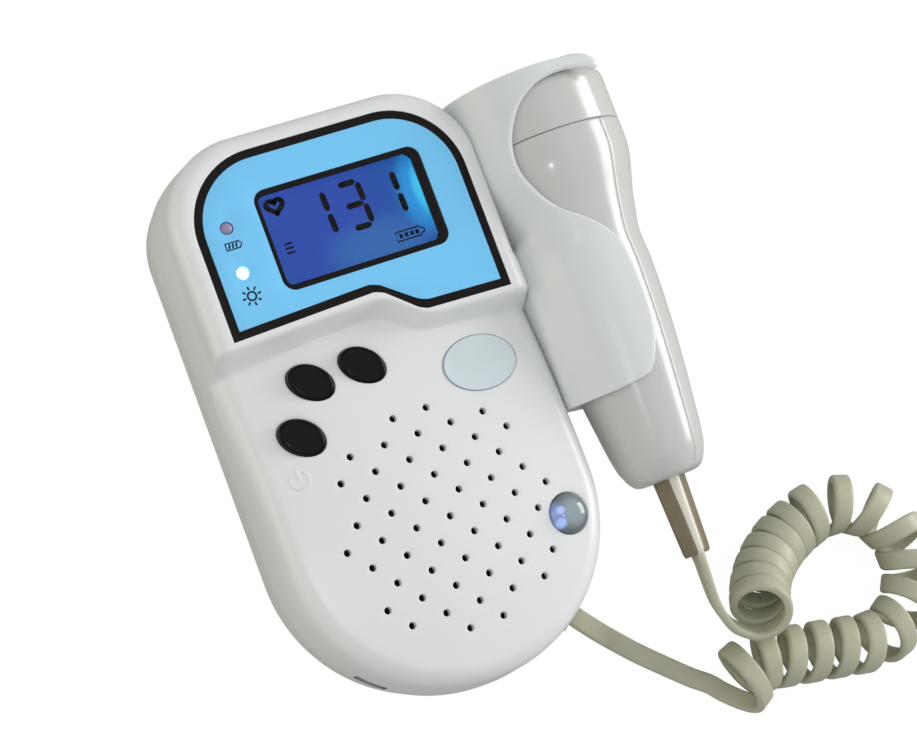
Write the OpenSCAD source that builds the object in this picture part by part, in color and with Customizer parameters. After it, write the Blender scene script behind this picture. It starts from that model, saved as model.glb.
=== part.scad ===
// Pocket fetal doppler monitor: a hand unit with a side holster, a probe that lifts out
// sideways, and the flat curly cord that joins them. Millimetres; the unit lies on its back,
// +Z out of its face, +Y towards the display end, +X towards the holster.

/* [Unit] */
// Length of the hand unit
unit_length = 139.4; // [136:0.2:144]
// Width of the hand unit at its parting line
unit_width = 78; // [77:0.2:80]
// Depth from the back to the label
unit_depth = 32; // [31:0.5:34]
// Radius of the two top corners
corner_r = 21.4; // [19:0.2:24]
// Height of the parting line above the back
split_z = 10; // [8:0.5:12]
// Wall thickness of the shells
wall = 2.2; // [1.8:0.1:2.4]

/* [Front face] */
// Sphere radius of the lower face
dome_r = 190; // [170:5:230]
// Height of the lower face over the speaker's centre
dome_z = 31.3; // [30.5:0.1:31.6]
// Speaker hole diameter
hole_d = 1.7; // [1.2:0.1:2.2]
// Half step between holes in a row
hole_step_x = 4.22; // [3.8:0.02:4.4]
// Step between rows of holes
hole_step_y = 5.09; // [4.6:0.01:5.2]

/* [Display and label] */
// Thickness of the printed label
label_t = 0.5; // [0.3:0.1:0.8]
// Width of the label's dark border
border_w = 1.9; // [1.2:0.1:2.6]
// Width of the display opening
glass_w = 38.4; // [36:0.2:39]
// Height of the display opening
glass_h = 21.7; // [20:0.1:22]

/* [Buttons] */
// Long axis of a button
button_a = 11.6; // [10:0.2:12]
// Short axis of a button
button_b = 8.6; // [7.6:0.2:9]
// Travel of a button
button_travel = 0.8; // [0.4:0.1:1]

/* [Probe] */
// Radius of the probe's head
head_r = 19.9; // [19:0.1:19.9]
// Wall of the probe's shells
probe_wall = 2; // [1.6:0.1:2.4]
// Gap between probe and holster
probe_gap = 0.3; // [0.3:0.05:0.5]
// Wall of the holster
holster_wall = 1.9; // [1.6:0.1:2.1]

/* [Cord] */
// Width of the flat cord
cord_w = 4.9; // [4.4:0.1:5.4]
// Thickness of the flat cord
cord_t = 2.1; // [1.8:0.1:2.3]
// Outside diameter of the coil
coil_d = 15; // [14:0.5:16]

/* [Hidden] */
$fn = 48;

half_w = unit_width / 2;
top_y = unit_length / 2;
round_y = half_w - top_y;          // centre of the round end, and of the speaker
corner_x = half_w - corner_r;
corner_y = top_y - corner_r;
edge_r = 4;                        // rounding of the front and back edges
draft = 1;                         // how far the walls lean in on their way to the edge
lip_h = 1.2;                       // tongue of the back shell inside the front one
fit = 0.1;

module shift_y(y) translate([0, y, 0]) children();

// ---- Outline of the unit, swept with its edge profile -------------------------------------
// Inset of the wall at each height, as [inset, z] from the back to the label plane
function edge_points(cut, z0, z1) = concat(
  [for (i = [0:6]) let (a = 90 * i / 6) [draft + edge_r * (1 - sin(a)), edge_r * (1 - cos(a))]],
  [[0, split_z]],
  [for (i = [0:6]) let (a = 90 * i / 6)
    [draft + edge_r * (1 - cos(a)), unit_depth - edge_r * (1 - sin(a))]]);

module half_profile(r, cut) {
  pts = edge_points(cut, 0, unit_depth);
  polygon(concat([[0, cut]],
    [for (p = pts) [r - p[0] - cut, cut + p[1] * (unit_depth - 2 * cut) / unit_depth]],
    [[0, unit_depth - cut]]));
}

// The unit's outside with cut = 0, and the space inside a wall with cut = the wall
module unit_solid(cut) {
  translate([0, round_y, 0]) rotate([0, 0, 180]) rotate_extrude(angle = 180)
    half_profile(half_w, cut);
  translate([0, corner_y, 0]) rotate([90, 0, 0]) linear_extrude(corner_y - round_y)
    union() {
      half_profile(half_w, cut);
      mirror([1, 0]) half_profile(half_w, cut);
    }
  translate([-corner_x, corner_y, 0]) rotate([90, 0, 90]) linear_extrude(2 * corner_x)
    half_profile(corner_r, cut);
  translate([corner_x, corner_y, 0]) rotate_extrude(angle = 90) half_profile(corner_r, cut);
  translate([-corner_x, corner_y, 0]) rotate([0, 0, 90]) rotate_extrude(angle = 90)
    half_profile(corner_r, cut);
}

// ---- Front face: domed lower part, raised label part with a stepped, sloping lower edge -----
// Upper edge of the step as three lines, each a point and a direction
step_lines = [[[0, 22.1], 2.1], [[6.3, 19.1], -38.4], [[12.4, 14.8], -1.9]];
slope = 0.38;                      // run of the step for a rise of one

module step_wedge(i, grow) translate(step_lines[i][0]) rotate([0, 0, step_lines[i][1]])
  translate([-90, 0, 0]) rotate([90, 0, 90]) linear_extrude(180)
  polygon([[grow - slope * 28, unit_depth - 28], [120, unit_depth - 28], [120, unit_depth + 10],
    [grow, unit_depth + 10], [grow, unit_depth]]);

module face_limit(grow) {
  translate([0, round_y, dome_z - dome_r]) sphere(dome_r - grow, $fn = 96);
  step_wedge(0, grow);
  intersection() {
    step_wedge(1, grow);
    step_wedge(2, grow);
  }
}

function dome_height(x, y) =
  dome_z - dome_r + sqrt(dome_r * dome_r - x * x - (y - round_y) * (y - round_y));

// ---- Probe ---------------------------------------------------------------------------------
probe_x = 58;
probe_z = 21.4;
seam_y = 46.2;                     // seam between the cap and the handle
head_y = 60;                       // flat end of the head
tail_y = -39.9;                    // cord end of the handle
parting_a = 63;                    // angle of the handle's parting plane, from +X towards +Z
handle = [[7.2, tail_y], [9, -38.8], [10.5, -36], [11.6, -31.5], [12.6, -23.5], [13.7, -13.5],
  [14.7, -1.5], [15.2, 11], [15, 19], [15.9, 24], [17, 29], [18.8, 35], [head_r - 0.2, 39],
  [head_r, 42], [head_r, seam_y]];
cap = [[head_r, seam_y], [head_r, 57.5], [head_r - 0.7, 59.2], [head_r - 2.4, head_y]];

module on_probe() translate([probe_x, 0, probe_z]) rotate([-90, 0, 0]) children();
module probe_turned(points, grow, y0, y1) on_probe() rotate_extrude()
  polygon(concat([[0, y0]], [for (p = points) [p[0] + grow, p[1]]], [[0, y1]]));
module parting_block(side) on_probe() rotate([0, 0, -parting_a])
  translate([-40, side > 0 ? 0.02 : -40.02, -60]) cube([80, 40, 130]);
module probe_shell(side) intersection() {
  difference() {
    probe_turned(handle, 0, tail_y, seam_y - 0.1);
    probe_turned([for (p = handle) if (p[1] > -37) p], -probe_wall, -36, seam_y + 1);
    on_probe() translate([0, 0, tail_y - 1]) cylinder(r = 3.2, h = 6);
  }
  parting_block(side);
}

// ---- Holster -------------------------------------------------------------------------------
holster_low = -16.3;
jaw = 6;                           // straight end of the jaws, past the probe's axis
holster_top = 61.9;
disc_y = head_y + 0.35;
throat = [for (p = concat([[13.5, holster_low - 1]], handle, [[head_r, disc_y]]))
  if (p[1] > holster_low - 2) p];

module channel(grow, reach) {
  intersection() {
    probe_turned(throat, grow, throat[0][1], disc_y);
    translate([0, -20, -5]) cube([probe_x, 120, 60]);
  }
  // straight jaws, so that the probe leaves sideways
  translate([probe_x, 0, probe_z]) rotate([90, 0, 90]) linear_extrude(reach)
    polygon(concat([for (p = throat) [p[1], p[0] + grow]],
      [for (i = [len(throat) - 1:-1:0]) [throat[i][1], -throat[i][0] - grow]]));
}

// Right edge of the front jaw, seen from the front, from the lower end to the hood
jaw_edge = [[43, -17], [50.7, -16.2], [55.5, -15.6], [58, -14.1], [60.5, -9.5], [62.1, -3.8],
  [62.5, 5.4], [61.7, 15.8], [58.8, 20.8], [53.9, 25.2], [50.2, 28.3], [47.1, 32.5],
  [44.8, 37.6], [44.1, 40.9], [44.4, 45.4], [45.9, 50], [48.5, 54.1], [52.2, 56.5],
  [56.5, 57.8], [61, 58.2], [80, 58.2]];

// ---- Inside --------------------------------------------------------------------------------
board_z = 18.1;                    // underside of the main board
board_t = 1.2;
board_top = board_z + board_t;
battery_r = 7.2;
battery_z = 9.5;
battery_y = [19.4, 34.4, 49.4];
cell_l = 50.5;
box = [29.4, 11.2, 57.6, 16.9];    // half length, low y, high y and roof of the battery box
screws = [[20, 62.3], [-20, 62.3], [29.5, -20], [-29.5, -20], [0, -60.5]];
buttons = [[-5.9, 9], [-18.7, 9], [-25.5, -2.5]];
button_turn = -40;
display_x = 2.1;
display_y = 41.85;
backlight_z = 23.8;
lamps = [47.9, 37];
lamp_x = -26.3;
badge_at = [21.2, 0.9];
pulse_at = [28, -39.4];
pulse_r = 4.9;
speaker_r = 23.4;
socket_turn = -132;
gland_turn = -51;
gland_z = 12;
holster_screw_y = [-10, 4, 18];
holster_screw_z = 19.5;

module oval(a, b, n = 36) polygon([for (i = [0:n - 1]) [a / 2 * cos(360 * i / n), b / 2 * sin(360 * i / n)]]);
module rounded_rect(w, h, r) {
  square([w - 2 * r, h], center = true);
  square([w, h - 2 * r], center = true);
  for (x = [-1, 1], y = [-1, 1]) translate([x * (w / 2 - r), y * (h / 2 - r)]) circle(r, $fn = 24);
}

// Outline of the label, drawn in by grow
label_r = 18;
module label_outline(d) {
  x = 33.7 - d;
  top = 64.1 - d;
  r = label_r - d;
  polygon(concat(
    [[-x, 22.4 + d], [1.4 - 0.3 * d, 23.7 + d], [3.6 - 0.2 * d, 22.9 + d],
     [10.4 + 0.2 * d, 17.2 + d], [12.4 + 0.3 * d, 16.3 + d], [x, 15.6 + d]],
    [for (i = [0:9]) [x - r + r * cos(10 * i), top - r + r * sin(10 * i)]],
    [for (i = [0:9]) [-x + r - r * sin(10 * i), top - r + r * cos(10 * i)]]));
}

module scoop(extra) on_probe() translate([0, 0, 22]) cylinder(r = head_r + probe_gap +
  holster_wall + 0.3 + extra, h = 45);

module at_screws(i) translate([screws[i][0], screws[i][1], 0]) children();
module at_button(i) translate([buttons[i][0], buttons[i][1], 0]) rotate([0, 0, button_turn])
  children();
module at_wall(turn) translate([0, round_y, 0]) rotate([0, 0, turn]) children();

flange_top = 3.3;                  // below the face
flange_t = 1;
stem_end = 5;

// ---- Shells --------------------------------------------------------------------------------
module front_shell() color([0.87, 0.88, 0.86]) {
  difference() {
    union() {
      difference() {
        intersection() {
          unit_solid(0);
          face_limit(0);
          translate([-60, -90, split_z]) cube([120, 180, 60]);
        }
        difference() {
          intersection() {
            unit_solid(wall);
            face_limit(wall);
          }
          scoop(1.9);
        }
        scoop(0);
        // rebate for the back shell's tongue
        difference() {
          intersection() {
            unit_solid(wall / 2);
            translate([-60, -90, split_z - 1]) cube([120, 180, lip_h + 1 + fit]);
          }
          scoop(1.9);
        }
      }
      // screw posts
      intersection() {
        face_limit(wall / 2);
        union() for (i = [0:4]) at_screws(i) translate([0, 0, split_z + 0.3]) cylinder(r = 3, h = 30);
        unit_solid(wall / 2);
      }
      // guides round the buttons
      intersection() {
        face_limit(wall / 2);
        union() for (i = [0:2]) at_button(i)
          translate([0, 0, dome_height(buttons[i][0], buttons[i][1]) - flange_top + 0.05])
          linear_extrude(20) oval(button_a + 3.4, button_b + 3.4);
      }
    }
    for (i = [0:4]) at_screws(i) cylinder(r = 1.35, h = 22);
    for (i = [0:2]) at_button(i) translate([0, 0, 10]) {
      linear_extrude(30) oval(button_a + 0.5, button_b + 0.5);
      linear_extrude(dome_height(buttons[i][0], buttons[i][1]) - flange_top + 0.06 - 10)
        oval(button_a + 3, button_b + 3);
    }
    // speaker holes in staggered rows
    for (j = [-5:5]) for (i = [-6:6])
      if ((i + j) % 2 == 0 && i * i * 0.95 + j * j * 1.45 < 39)
        translate([i * hole_step_x, round_y - j * hole_step_y, 20]) cylinder(d = hole_d, h = 15, $fn = 16);
    // label recess, display, lamps, badge, pulse lens
    translate([0, 0, unit_depth - label_t]) linear_extrude(5) label_outline(-0.05);
    translate([display_x, display_y, unit_depth - 8]) linear_extrude(10)
      rounded_rect(glass_w + 0.4, glass_h + 0.4, 1.2);
    translate([display_x + 0.6, display_y, unit_depth - 1.2]) linear_extrude(5)
      rounded_rect(42.1, 24.5, 2.2);
    for (y = lamps) translate([lamp_x, y, 20]) cylinder(d = 3.3, h = 15);
    difference() {
      translate([badge_at[0], badge_at[1], 20]) linear_extrude(20) oval(19.2, 13.8);
      translate([0, round_y, dome_z - dome_r]) sphere(dome_r - 0.5, $fn = 96);
    }
    translate([pulse_at[0], pulse_at[1], 18]) cylinder(r = pulse_r + 0.05, h = 20);
    // openings in the wall
    at_wall(socket_turn) translate([30, -3.9, 10.9]) cube([12, 7.8, 3.2]);
    at_wall(gland_turn) translate([30, -3.55, gland_z - 1.85]) cube([12, 7.1, 3.7]);
    for (y = holster_screw_y) translate([30, y, holster_screw_z]) rotate([0, 90, 0])
      cylinder(r = 1.35, h = 15);
  }
}

module back_shell() color([0.85, 0.86, 0.84]) difference() {
  union() {
    difference() {
      intersection() {
        unit_solid(0);
        translate([-60, -90, -1]) cube([120, 180, split_z + 1]);
      }
      unit_solid(wall);
      scoop(0);
    }
    // tongue
    intersection() {
      difference() {
        unit_solid(wall / 2 + fit);
        unit_solid(wall);
        scoop(2);
      }
      translate([-60, -90, split_z - 2]) cube([120, 180, 2 + lip_h]);
    }
    // screw sockets
    intersection() {
      union() for (i = [0:4]) at_screws(i) cylinder(r = 3.6, h = split_z);
      unit_solid(wall / 2);
    }
    // battery box
    difference() {
      translate([-box[0] - 1.5, box[1] - 1.5, 0.5]) cube([2 * box[0] + 3, box[2] - box[1] + 3, box[3] + 0.5]);
      translate([-box[0], box[1], -1]) cube([2 * box[0], box[2] - box[1], box[3] + 1]);
    }
  }
  translate([-box[0], box[1], -1]) cube([2 * box[0], box[2] - box[1], 5]);
  // seat of the door, its hinge lugs and its latch
  translate([-30.6, 9.1, -1]) cube([61.2, 49.8, 2.9]);
  for (x = [-20, 20]) translate([x - 4.2, 8.4, -1]) cube([8.4, 4, 5]);
  translate([-5.3, 57, -1]) cube([10.6, 5, 4.6]);
  // the tongue makes room for the socket and the gland
  at_wall(socket_turn) translate([30, -6.2, 9.4]) cube([8.2, 12.4, 4]);
  at_wall(gland_turn) translate([30, -4.8, gland_z - 2]) cube([8.2, 9.6, 4]);
  for (i = [0:4]) at_screws(i) {
    translate([0, 0, -1]) cylinder(r = 1.5, h = 14);
    translate([0, 0, -1]) cylinder(r = 2.7, h = 4);
  }
}

module case_screw(i) color([0.6, 0.6, 0.62]) at_screws(i) {
  difference() {
    translate([0, 0, 1.1]) cylinder(r = 2.5, h = 1.9);
    for (a = [0, 90]) rotate([0, 0, a]) translate([-1.5, -0.3, 0.5]) cube([3, 0.6, 1.4]);
  }
  translate([0, 0, 3]) cylinder(r = 1.3, h = 14);
}

// ---- Batteries and their door -------------------------------------------------------------
door_y = 10.1;
module battery_door() color([0.84, 0.85, 0.83]) difference() {
  union() {
    translate([-30.4, door_y, 0]) cube([60.8, 48.6, 1.8]);
    for (x = [-20, 20]) {
      translate([x - 4, 9.6, 0.9]) rotate([0, 90, 0]) cylinder(r = 0.9, h = 8);
      translate([x - 4, 9.6, 0]) cube([8, 1, 1.8]);
    }
    translate([-5, 58.6, 0]) cube([10, 1.6, 1.4]);
    translate([-5, 57.2, 1.8]) cube([10, 1.2, 1.2]);
  }
  for (i = [0:4]) translate([-9, 44 + 2 * i, -0.4]) cube([18, 1, 0.8]);
}

module battery(i) color([0.16, 0.3, 0.42]) translate([0, battery_y[i], battery_z])
  rotate([0, i % 2 == 0 ? 90 : -90, 0]) {
    translate([0, 0, -cell_l / 2]) cylinder(r = battery_r, h = cell_l - 1.2);
    translate([0, 0, cell_l / 2 - 1.2]) cylinder(r = 2.75, h = 1.2);
  }

module contact(side) color([0.75, 0.75, 0.76]) for (i = [0:2]) {
  spring_here = (i % 2 == 0 ? -1 : 1) == side;
  translate([side * (box[0] - 0.15), battery_y[i], battery_z]) rotate([0, -90 * side, 0]) {
    translate([-5, -5, 0]) cube([10, 10, 0.4]);
    if (i < 2) translate([-4, 5, 0]) cube([8, 5.1, 0.4]);
    if (spring_here) for (k = [0:3]) translate([0, 0, 0.4 + 0.84 * k])
      cylinder(r1 = 3.4 - 0.4 * k, r2 = 3 - 0.4 * k, h = 0.84);
    else translate([0, 0, 0.4]) cylinder(r = 2, h = 3.3);
  }
}

// ---- Label and display ----------------------------------------------------------------------
module label_border() color([0.07, 0.06, 0.06]) translate([0, 0, unit_depth - label_t])
  linear_extrude(label_t) difference() {
    label_outline(0);
    label_outline(border_w);
  }

module label_panel() color([0.47, 0.76, 0.93]) translate([0, 0, unit_depth - label_t])
  linear_extrude(label_t) difference() {
    label_outline(border_w + 0.02);
    translate([display_x + 0.6, display_y]) rounded_rect(42.1, 24.5, 2.2);
    for (y = lamps) translate([lamp_x, y]) circle(d = 3.3);
  }

module display_frame() color([0.06, 0.06, 0.07]) translate([display_x + 0.6, display_y, unit_depth - 1.2])
  linear_extrude(1.15) difference() {
    rounded_rect(42, 24.4, 2.2);
    translate([-0.6, 0]) rounded_rect(glass_w, glass_h, 1);
  }

module display_window() color([0.75, 0.82, 0.9, 0.35])
  translate([display_x, display_y, unit_depth - 1.2]) linear_extrude(0.9)
  rounded_rect(glass_w - 0.04, glass_h - 0.04, 1);

module display_glass() color([0.2, 0.33, 0.75]) translate([display_x, display_y, unit_depth - 5])
  translate([-21, -13.5, 0]) cube([42, 27, 2.6]);

module backlight() color([0.9, 0.93, 0.95]) translate([display_x, display_y, backlight_z])
  translate([-21, -13.5, 0]) cube([42, 27, 3.1]);

module display_strips() color([0.85, 0.6, 0.6]) for (y = [-12.4, 10.4])
  translate([display_x - 20, display_y + y, board_top]) cube([40, 2, backlight_z - board_top]);

module lamp(i) color(i == 0 ? [0.6, 0.55, 0.68] : [0.93, 0.97, 1]) translate([lamp_x, lamps[i], 0]) {
  translate([0, 0, board_top]) cylinder(r = 2.1, h = 8.6);
  cylinder_top = unit_depth - 1.2;
  translate([0, 0, board_top + 8.6]) cylinder(r = 1.55, h = cylinder_top - board_z - board_t - 8.6);
  translate([0, 0, cylinder_top]) intersection() {
    cylinder(r = 1.55, h = 4);
    sphere(r = 1.55);
  }
}

// ---- Buttons and switches -------------------------------------------------------------------
module button(i) color([0.05, 0.05, 0.05]) {
  z = dome_height(buttons[i][0], buttons[i][1]);
  at_button(i) {
    intersection() {
      translate([0, 0, z - flange_top - 0.02]) linear_extrude(8) oval(button_a, button_b);
      translate([0, 0, z + 1.3 - 14]) sphere(r = 14, $fn = 48);
    }
    translate([0, 0, z - flange_top - flange_t]) linear_extrude(flange_t)
      oval(button_a + 2.6, button_b + 2.6);
    translate([0, 0, z - stem_end]) cylinder(r = 1.6, h = stem_end - flange_top);
  }
}

module switch(i) color([0.75, 0.75, 0.72]) translate([buttons[i][0], buttons[i][1], 0]) {
  top = dome_height(buttons[i][0], buttons[i][1]) - stem_end - button_travel - 0.05;
  translate([-3, -3, board_top]) cube([6, 6, top - board_top]);
}

// ---- Badge and pulse lens ------------------------------------------------------------------
module badge() color([0.82, 0.87, 0.92]) intersection() {
  translate([badge_at[0], badge_at[1], 20]) linear_extrude(20) oval(19, 13.6);
  difference() {
    translate([0, round_y, dome_z - dome_r]) sphere(dome_r + 0.35, $fn = 96);
    translate([0, round_y, dome_z - dome_r]) sphere(dome_r - 0.45, $fn = 96);
  }
}

pulse_z = 28.9;
module pulse_lens() color([0.66, 0.8, 0.93, 0.6]) translate([pulse_at[0], pulse_at[1], 0])
  difference() {
    union() {
      translate([0, 0, 23.2]) cylinder(r = pulse_r, h = pulse_z - 23.2);
      intersection() {
        translate([0, 0, pulse_z]) cylinder(r = pulse_r, h = 6);
        translate([0, 0, pulse_z - 3.6]) sphere(r = sqrt(pulse_r * pulse_r + 3.6 * 3.6));
      }
    }
    translate([0, 0, 23]) cylinder(r = 3.2, h = 3.4);
  }

module pulse_lamp() color([0.55, 0.72, 0.95]) translate([pulse_at[0], pulse_at[1], 0]) {
  translate([-3.2, -3.2, 20.4]) cube([6.4, 6.4, 1.2]);
  translate([0, 0, 21.6]) cylinder(r = 2.5, h = 3);
}

// ---- Board ---------------------------------------------------------------------------------
module main_board() color([0.1, 0.38, 0.2]) translate([0, 0, board_z]) linear_extrude(board_t)
  difference() {
    translate([-33, -13]) square([64, 70]);
    translate([0, round_y]) circle(r = speaker_r + 1.6);
    for (i = [0:3]) translate(screws[i]) circle(r = 3.3);
    translate([29, 20]) square([5, 40]);
  }

module board_parts() color([0.13, 0.13, 0.14]) {
  translate([8, -4, board_z - 1.6]) cube([12, 12, 1.6]);
  translate([-14, 0, board_z - 1.4]) cube([9, 7, 1.4]);
  translate([24, -8, board_z - 2.2]) cube([4, 9, 2.2]);
  translate([10, 11, board_top]) cube([9, 8, 1.5]);
  for (x = [-24, -20.5]) translate([x, 15, board_top]) cylinder(r = 1.5, h = 1.3);
}

// ---- Speaker -------------------------------------------------------------------------------
speaker_z = 24.4;                  // top of the frame's rim
module speaker_gasket() color([0.12, 0.12, 0.12]) translate([0, round_y, speaker_z + 0.3])
  difference() {
    cylinder(r = speaker_r, h = 2.1);
    translate([0, 0, -1]) cylinder(r = speaker_r - 2.4, h = 5);
  }

module speaker_cloth() color([0.03, 0.03, 0.03]) translate([0, round_y, speaker_z])
  cylinder(r = speaker_r, h = 0.3);

module speaker_frame() color([0.45, 0.45, 0.47]) translate([0, round_y, 0]) rotate_extrude()
  polygon([[speaker_r, speaker_z], [speaker_r, speaker_z - 1.2], [21.4, speaker_z - 1.4],
    [16, 14.2], [13.2, 14.2], [13.2, 15.2], [15.3, 15.2], [20.4, speaker_z - 1],
    [21.2, speaker_z]]);

module speaker_cone() color([0.16, 0.16, 0.17]) translate([0, round_y, 0]) rotate_extrude()
  polygon([[0, 19.2], [4.5, 17.8], [6, 16.2], [6.6, 16.2], [19.9, speaker_z - 0.9],
    [19.6, speaker_z - 0.3], [6, 17.2], [4.6, 18.6], [0, 19.9]]);

module speaker_magnet() color([0.35, 0.35, 0.36]) translate([0, round_y, 0]) difference() {
  union() {
    translate([0, 0, 7.2]) cylinder(r = 13, h = 5);
    translate([0, 0, 12.2]) cylinder(r = 13.1, h = 2);
  }
  translate([0, 0, 12.4]) cylinder(r = 7.4, h = 4);
}

// ---- Socket and cord gland -----------------------------------------------------------------
module charge_socket() color([0.2, 0.2, 0.21]) at_wall(socket_turn) difference() {
  translate([31.2, -3.8, 11]) cube([half_w - 31.8, 7.6, 3]);
  translate([33, -3.2, 11.6]) cube([10, 6.4, 1.8]);
}

module socket_board() color([0.1, 0.38, 0.2]) at_wall(socket_turn)
  translate([26.6, -6, 9.6]) cube([9.4, 12, 1.3]);

module cord_gland() color([0.68, 0.66, 0.58]) at_wall(gland_turn) difference() {
  union() {
    translate([half_w + 0.05, -4.3, gland_z - 2.6]) cube([1.5, 8.6, 5.2]);
    translate([half_w - 4.4, -3.5, gland_z - 1.8]) cube([4.6, 7, 3.6]);
    translate([half_w - 5.8, -4.6, gland_z - 1.8]) cube([1.4, 9.2, 3.6]);
  }
  translate([half_w - 8, -cord_w / 2, gland_z - cord_t / 2]) cube([8.02, cord_w, cord_t]);
}

// ---- Holster node --------------------------------------------------------------------------
module holster() color([0.76, 0.79, 0.79]) difference() {
  intersection() {
    union() {
      channel(probe_gap + holster_wall, jaw);
      on_probe() translate([0, 0, disc_y - 0.01])
        cylinder(r = head_r + probe_gap + holster_wall, h = holster_top - disc_y - 1);
      on_probe() translate([0, 0, holster_top - 1.02])
        cylinder(r1 = head_r + probe_gap + holster_wall, r2 = head_r + probe_gap + holster_wall - 1, h = 1);
      // lip of the hood, over the end of the probe
      intersection() {
        channel(probe_gap + holster_wall, 13);
        translate([probe_x, 57, probe_z + 10]) cube([20, 6, 20]);
      }
      // saddle against the unit's wall, running on from the sleeve in front and behind
      translate([0, holster_low + 40, probe_z]) rotate([90, 0, 0]) linear_extrude(40)
        polygon([[half_w + 0.05, 3.6], [probe_x - 11, 11], [probe_x - 11, -11], [half_w + 0.05, -3.6]]);
    }
    linear_extrude(60) polygon([[-10, holster_low], [80, holster_low], [80, 57], [71, 57],
      [70.8, 59.4], [70, 60.8], [68.6, 61.7], [67, 62], [-10, 62]]);
  }
  channel(probe_gap, 40);
  // front jaw is cut away to its edge line
  translate([0, 0, probe_z]) linear_extrude(60)
    polygon(concat(jaw_edge, [[90, -30], [43, -30]]));
  for (y = holster_screw_y) translate([30, y, holster_screw_z]) rotate([0, 90, 0])
    cylinder(r = 1.35, h = half_w + 3.2 - 30);
}

module holster_screw(i) color([0.6, 0.6, 0.62])
  translate([half_w - wall - 2.2, holster_screw_y[i], holster_screw_z]) rotate([0, 90, 0]) {
    cylinder(r = 2.4, h = 1.2);
    cylinder(r = 1.25, h = 6.6);
  }

// ---- Probe nodes ---------------------------------------------------------------------------
module probe_cap() color([0.84, 0.85, 0.83]) difference() {
  probe_turned(cap, 0, seam_y + 0.02, head_y);
  on_probe() translate([0, 0, seam_y - 1]) cylinder(r = head_r - probe_wall, h = 9);
  on_probe() translate([0, 0, 50]) cylinder(r = 15.6, h = 20);
}
module probe_face() color([0.78, 0.8, 0.8]) on_probe() {
  translate([0, 0, 58.2]) cylinder(r = 15.5, h = head_y - 58.2);
}
module crystal() color([0.8, 0.76, 0.6]) on_probe() translate([0, 0, 55.4]) difference() {
  cylinder(r = 14, h = 2.7);
  translate([-0.4, -20, 1.2]) cube([0.8, 40, 3]);
}
module probe_shell_front() color([0.86, 0.87, 0.85]) probe_shell(-1);
module probe_shell_back() color([0.85, 0.86, 0.84]) probe_shell(1);
module probe_board() color([0.1, 0.38, 0.2]) on_probe() rotate([0, 0, -parting_a]) {
  translate([-8, -0.8, -22]) cube([16, 1.6, 66]);
  for (z = [-14, 2, 20]) translate([-4, 0.8, z]) cube([8, 2, 9]);
}
boot_end = -59.2;
module probe_boot() color([0.66, 0.63, 0.56]) {
  on_probe() translate([0, 0, tail_y - 0.02]) cylinder(r = 3.1, h = 4);
  on_probe() translate([0, 0, tail_y + 3.98]) cylinder(r = 4.4, h = 1.4);
  // wings to both sides, and a ridge in front and behind for the cord's edges
  hull() {
    for (x = [-2.5, 2.5]) translate([probe_x + x, tail_y - 0.02, probe_z]) rotate([90, 0, 0])
      cylinder(r = 1.8, h = 1, $fn = 24);
    for (z = [-1.9, 1.9]) translate([probe_x, tail_y - 0.02, probe_z + z]) rotate([90, 0, 0])
      cylinder(r = 1.8, h = 1, $fn = 24);
    for (x = [-2.2, 2.2]) translate([probe_x + x, boot_end + 1, probe_z]) rotate([90, 0, 0])
      cylinder(r = 1.3, h = 1, $fn = 24);
    for (z = [-1.7, 1.7]) translate([probe_x, boot_end + 1, probe_z + z]) rotate([90, 0, 0])
      cylinder(r = 1.2, h = 1, $fn = 24);
  }
}

// ---- Cord: rings of a flat section swept along points -----------------------------------------
function unit3(v) = v / norm(v);
function ring(p, t, side, w, h) = let (up = unit3(cross(t, side)), sd = unit3(cross(up, t)))
  [for (q = [[-0.5, -0.3], [-0.5, 0.3], [0, 0.5], [0.5, 0.3], [0.5, -0.3], [0, -0.5]])
    p + up * (q[0] * h) + sd * (q[1] * w)];
module skin(rings, n = 6) {
  count = len(rings);
  polyhedron([for (r = rings) for (p = r) p], concat(
    [for (k = [1:n - 2]) [0, k, k + 1]],
    [for (i = [0:count - 2]) for (k = [0:n - 1]) let (a = i * n + k, b = i * n + (k + 1) % n)
      for (f = [[a, a + n, b], [b, a + n, b + n]]) f],
    [for (k = [1:n - 2]) let (e = (count - 1) * n) [e, e + k + 1, e + k]]));
}
function tangent(p, i) = unit3(p[min(i + 1, len(p) - 1)] - p[max(i - 1, 0)]);
function smooth(p, k, u) = let (a = p[max(k - 1, 0)], b = p[k], c = p[k + 1],
  d = p[min(k + 2, len(p) - 1)])
  0.5 * (2 * b + (c - a) * u + (2 * a - 5 * b + 4 * c - d) * u * u + (3 * b - a - 3 * c + d) * u * u * u);
function finer(p, m) = concat([for (k = [0:len(p) - 2]) for (j = [0:m - 1]) smooth(p, k, j / m)],
  [p[len(p) - 1]]);

// Axis of the coil: it leaves its open end downwards, reaches the surface and bends back
coil_start = [69.1, -77.5, 20];
coil_heading = 55;
coil_dip = 49.6;                   // how steeply it starts down, in degrees
coil_dip_run = 30;
coil_bends = [[36, -41.3], [63, -205], [24, 0], [14, 47]];   // length and turn of each stretch
coil_pitches = [5.3, 9.1, 7.2];    // pitch at the open end, in the bend and after it
coil_ends = [0, for (i = [0:3]) coil_bends[0][0] + (i > 0 ? coil_bends[1][0] : 0)
  + (i > 1 ? coil_bends[2][0] : 0) + (i > 2 ? coil_bends[3][0] : 0)];
coil_len = coil_ends[4];
last_swell = 0.28;                 // how much wider the last turn opens
last_run = 9;
wire_r = coil_d / 2 - cord_t / 2;

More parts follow.
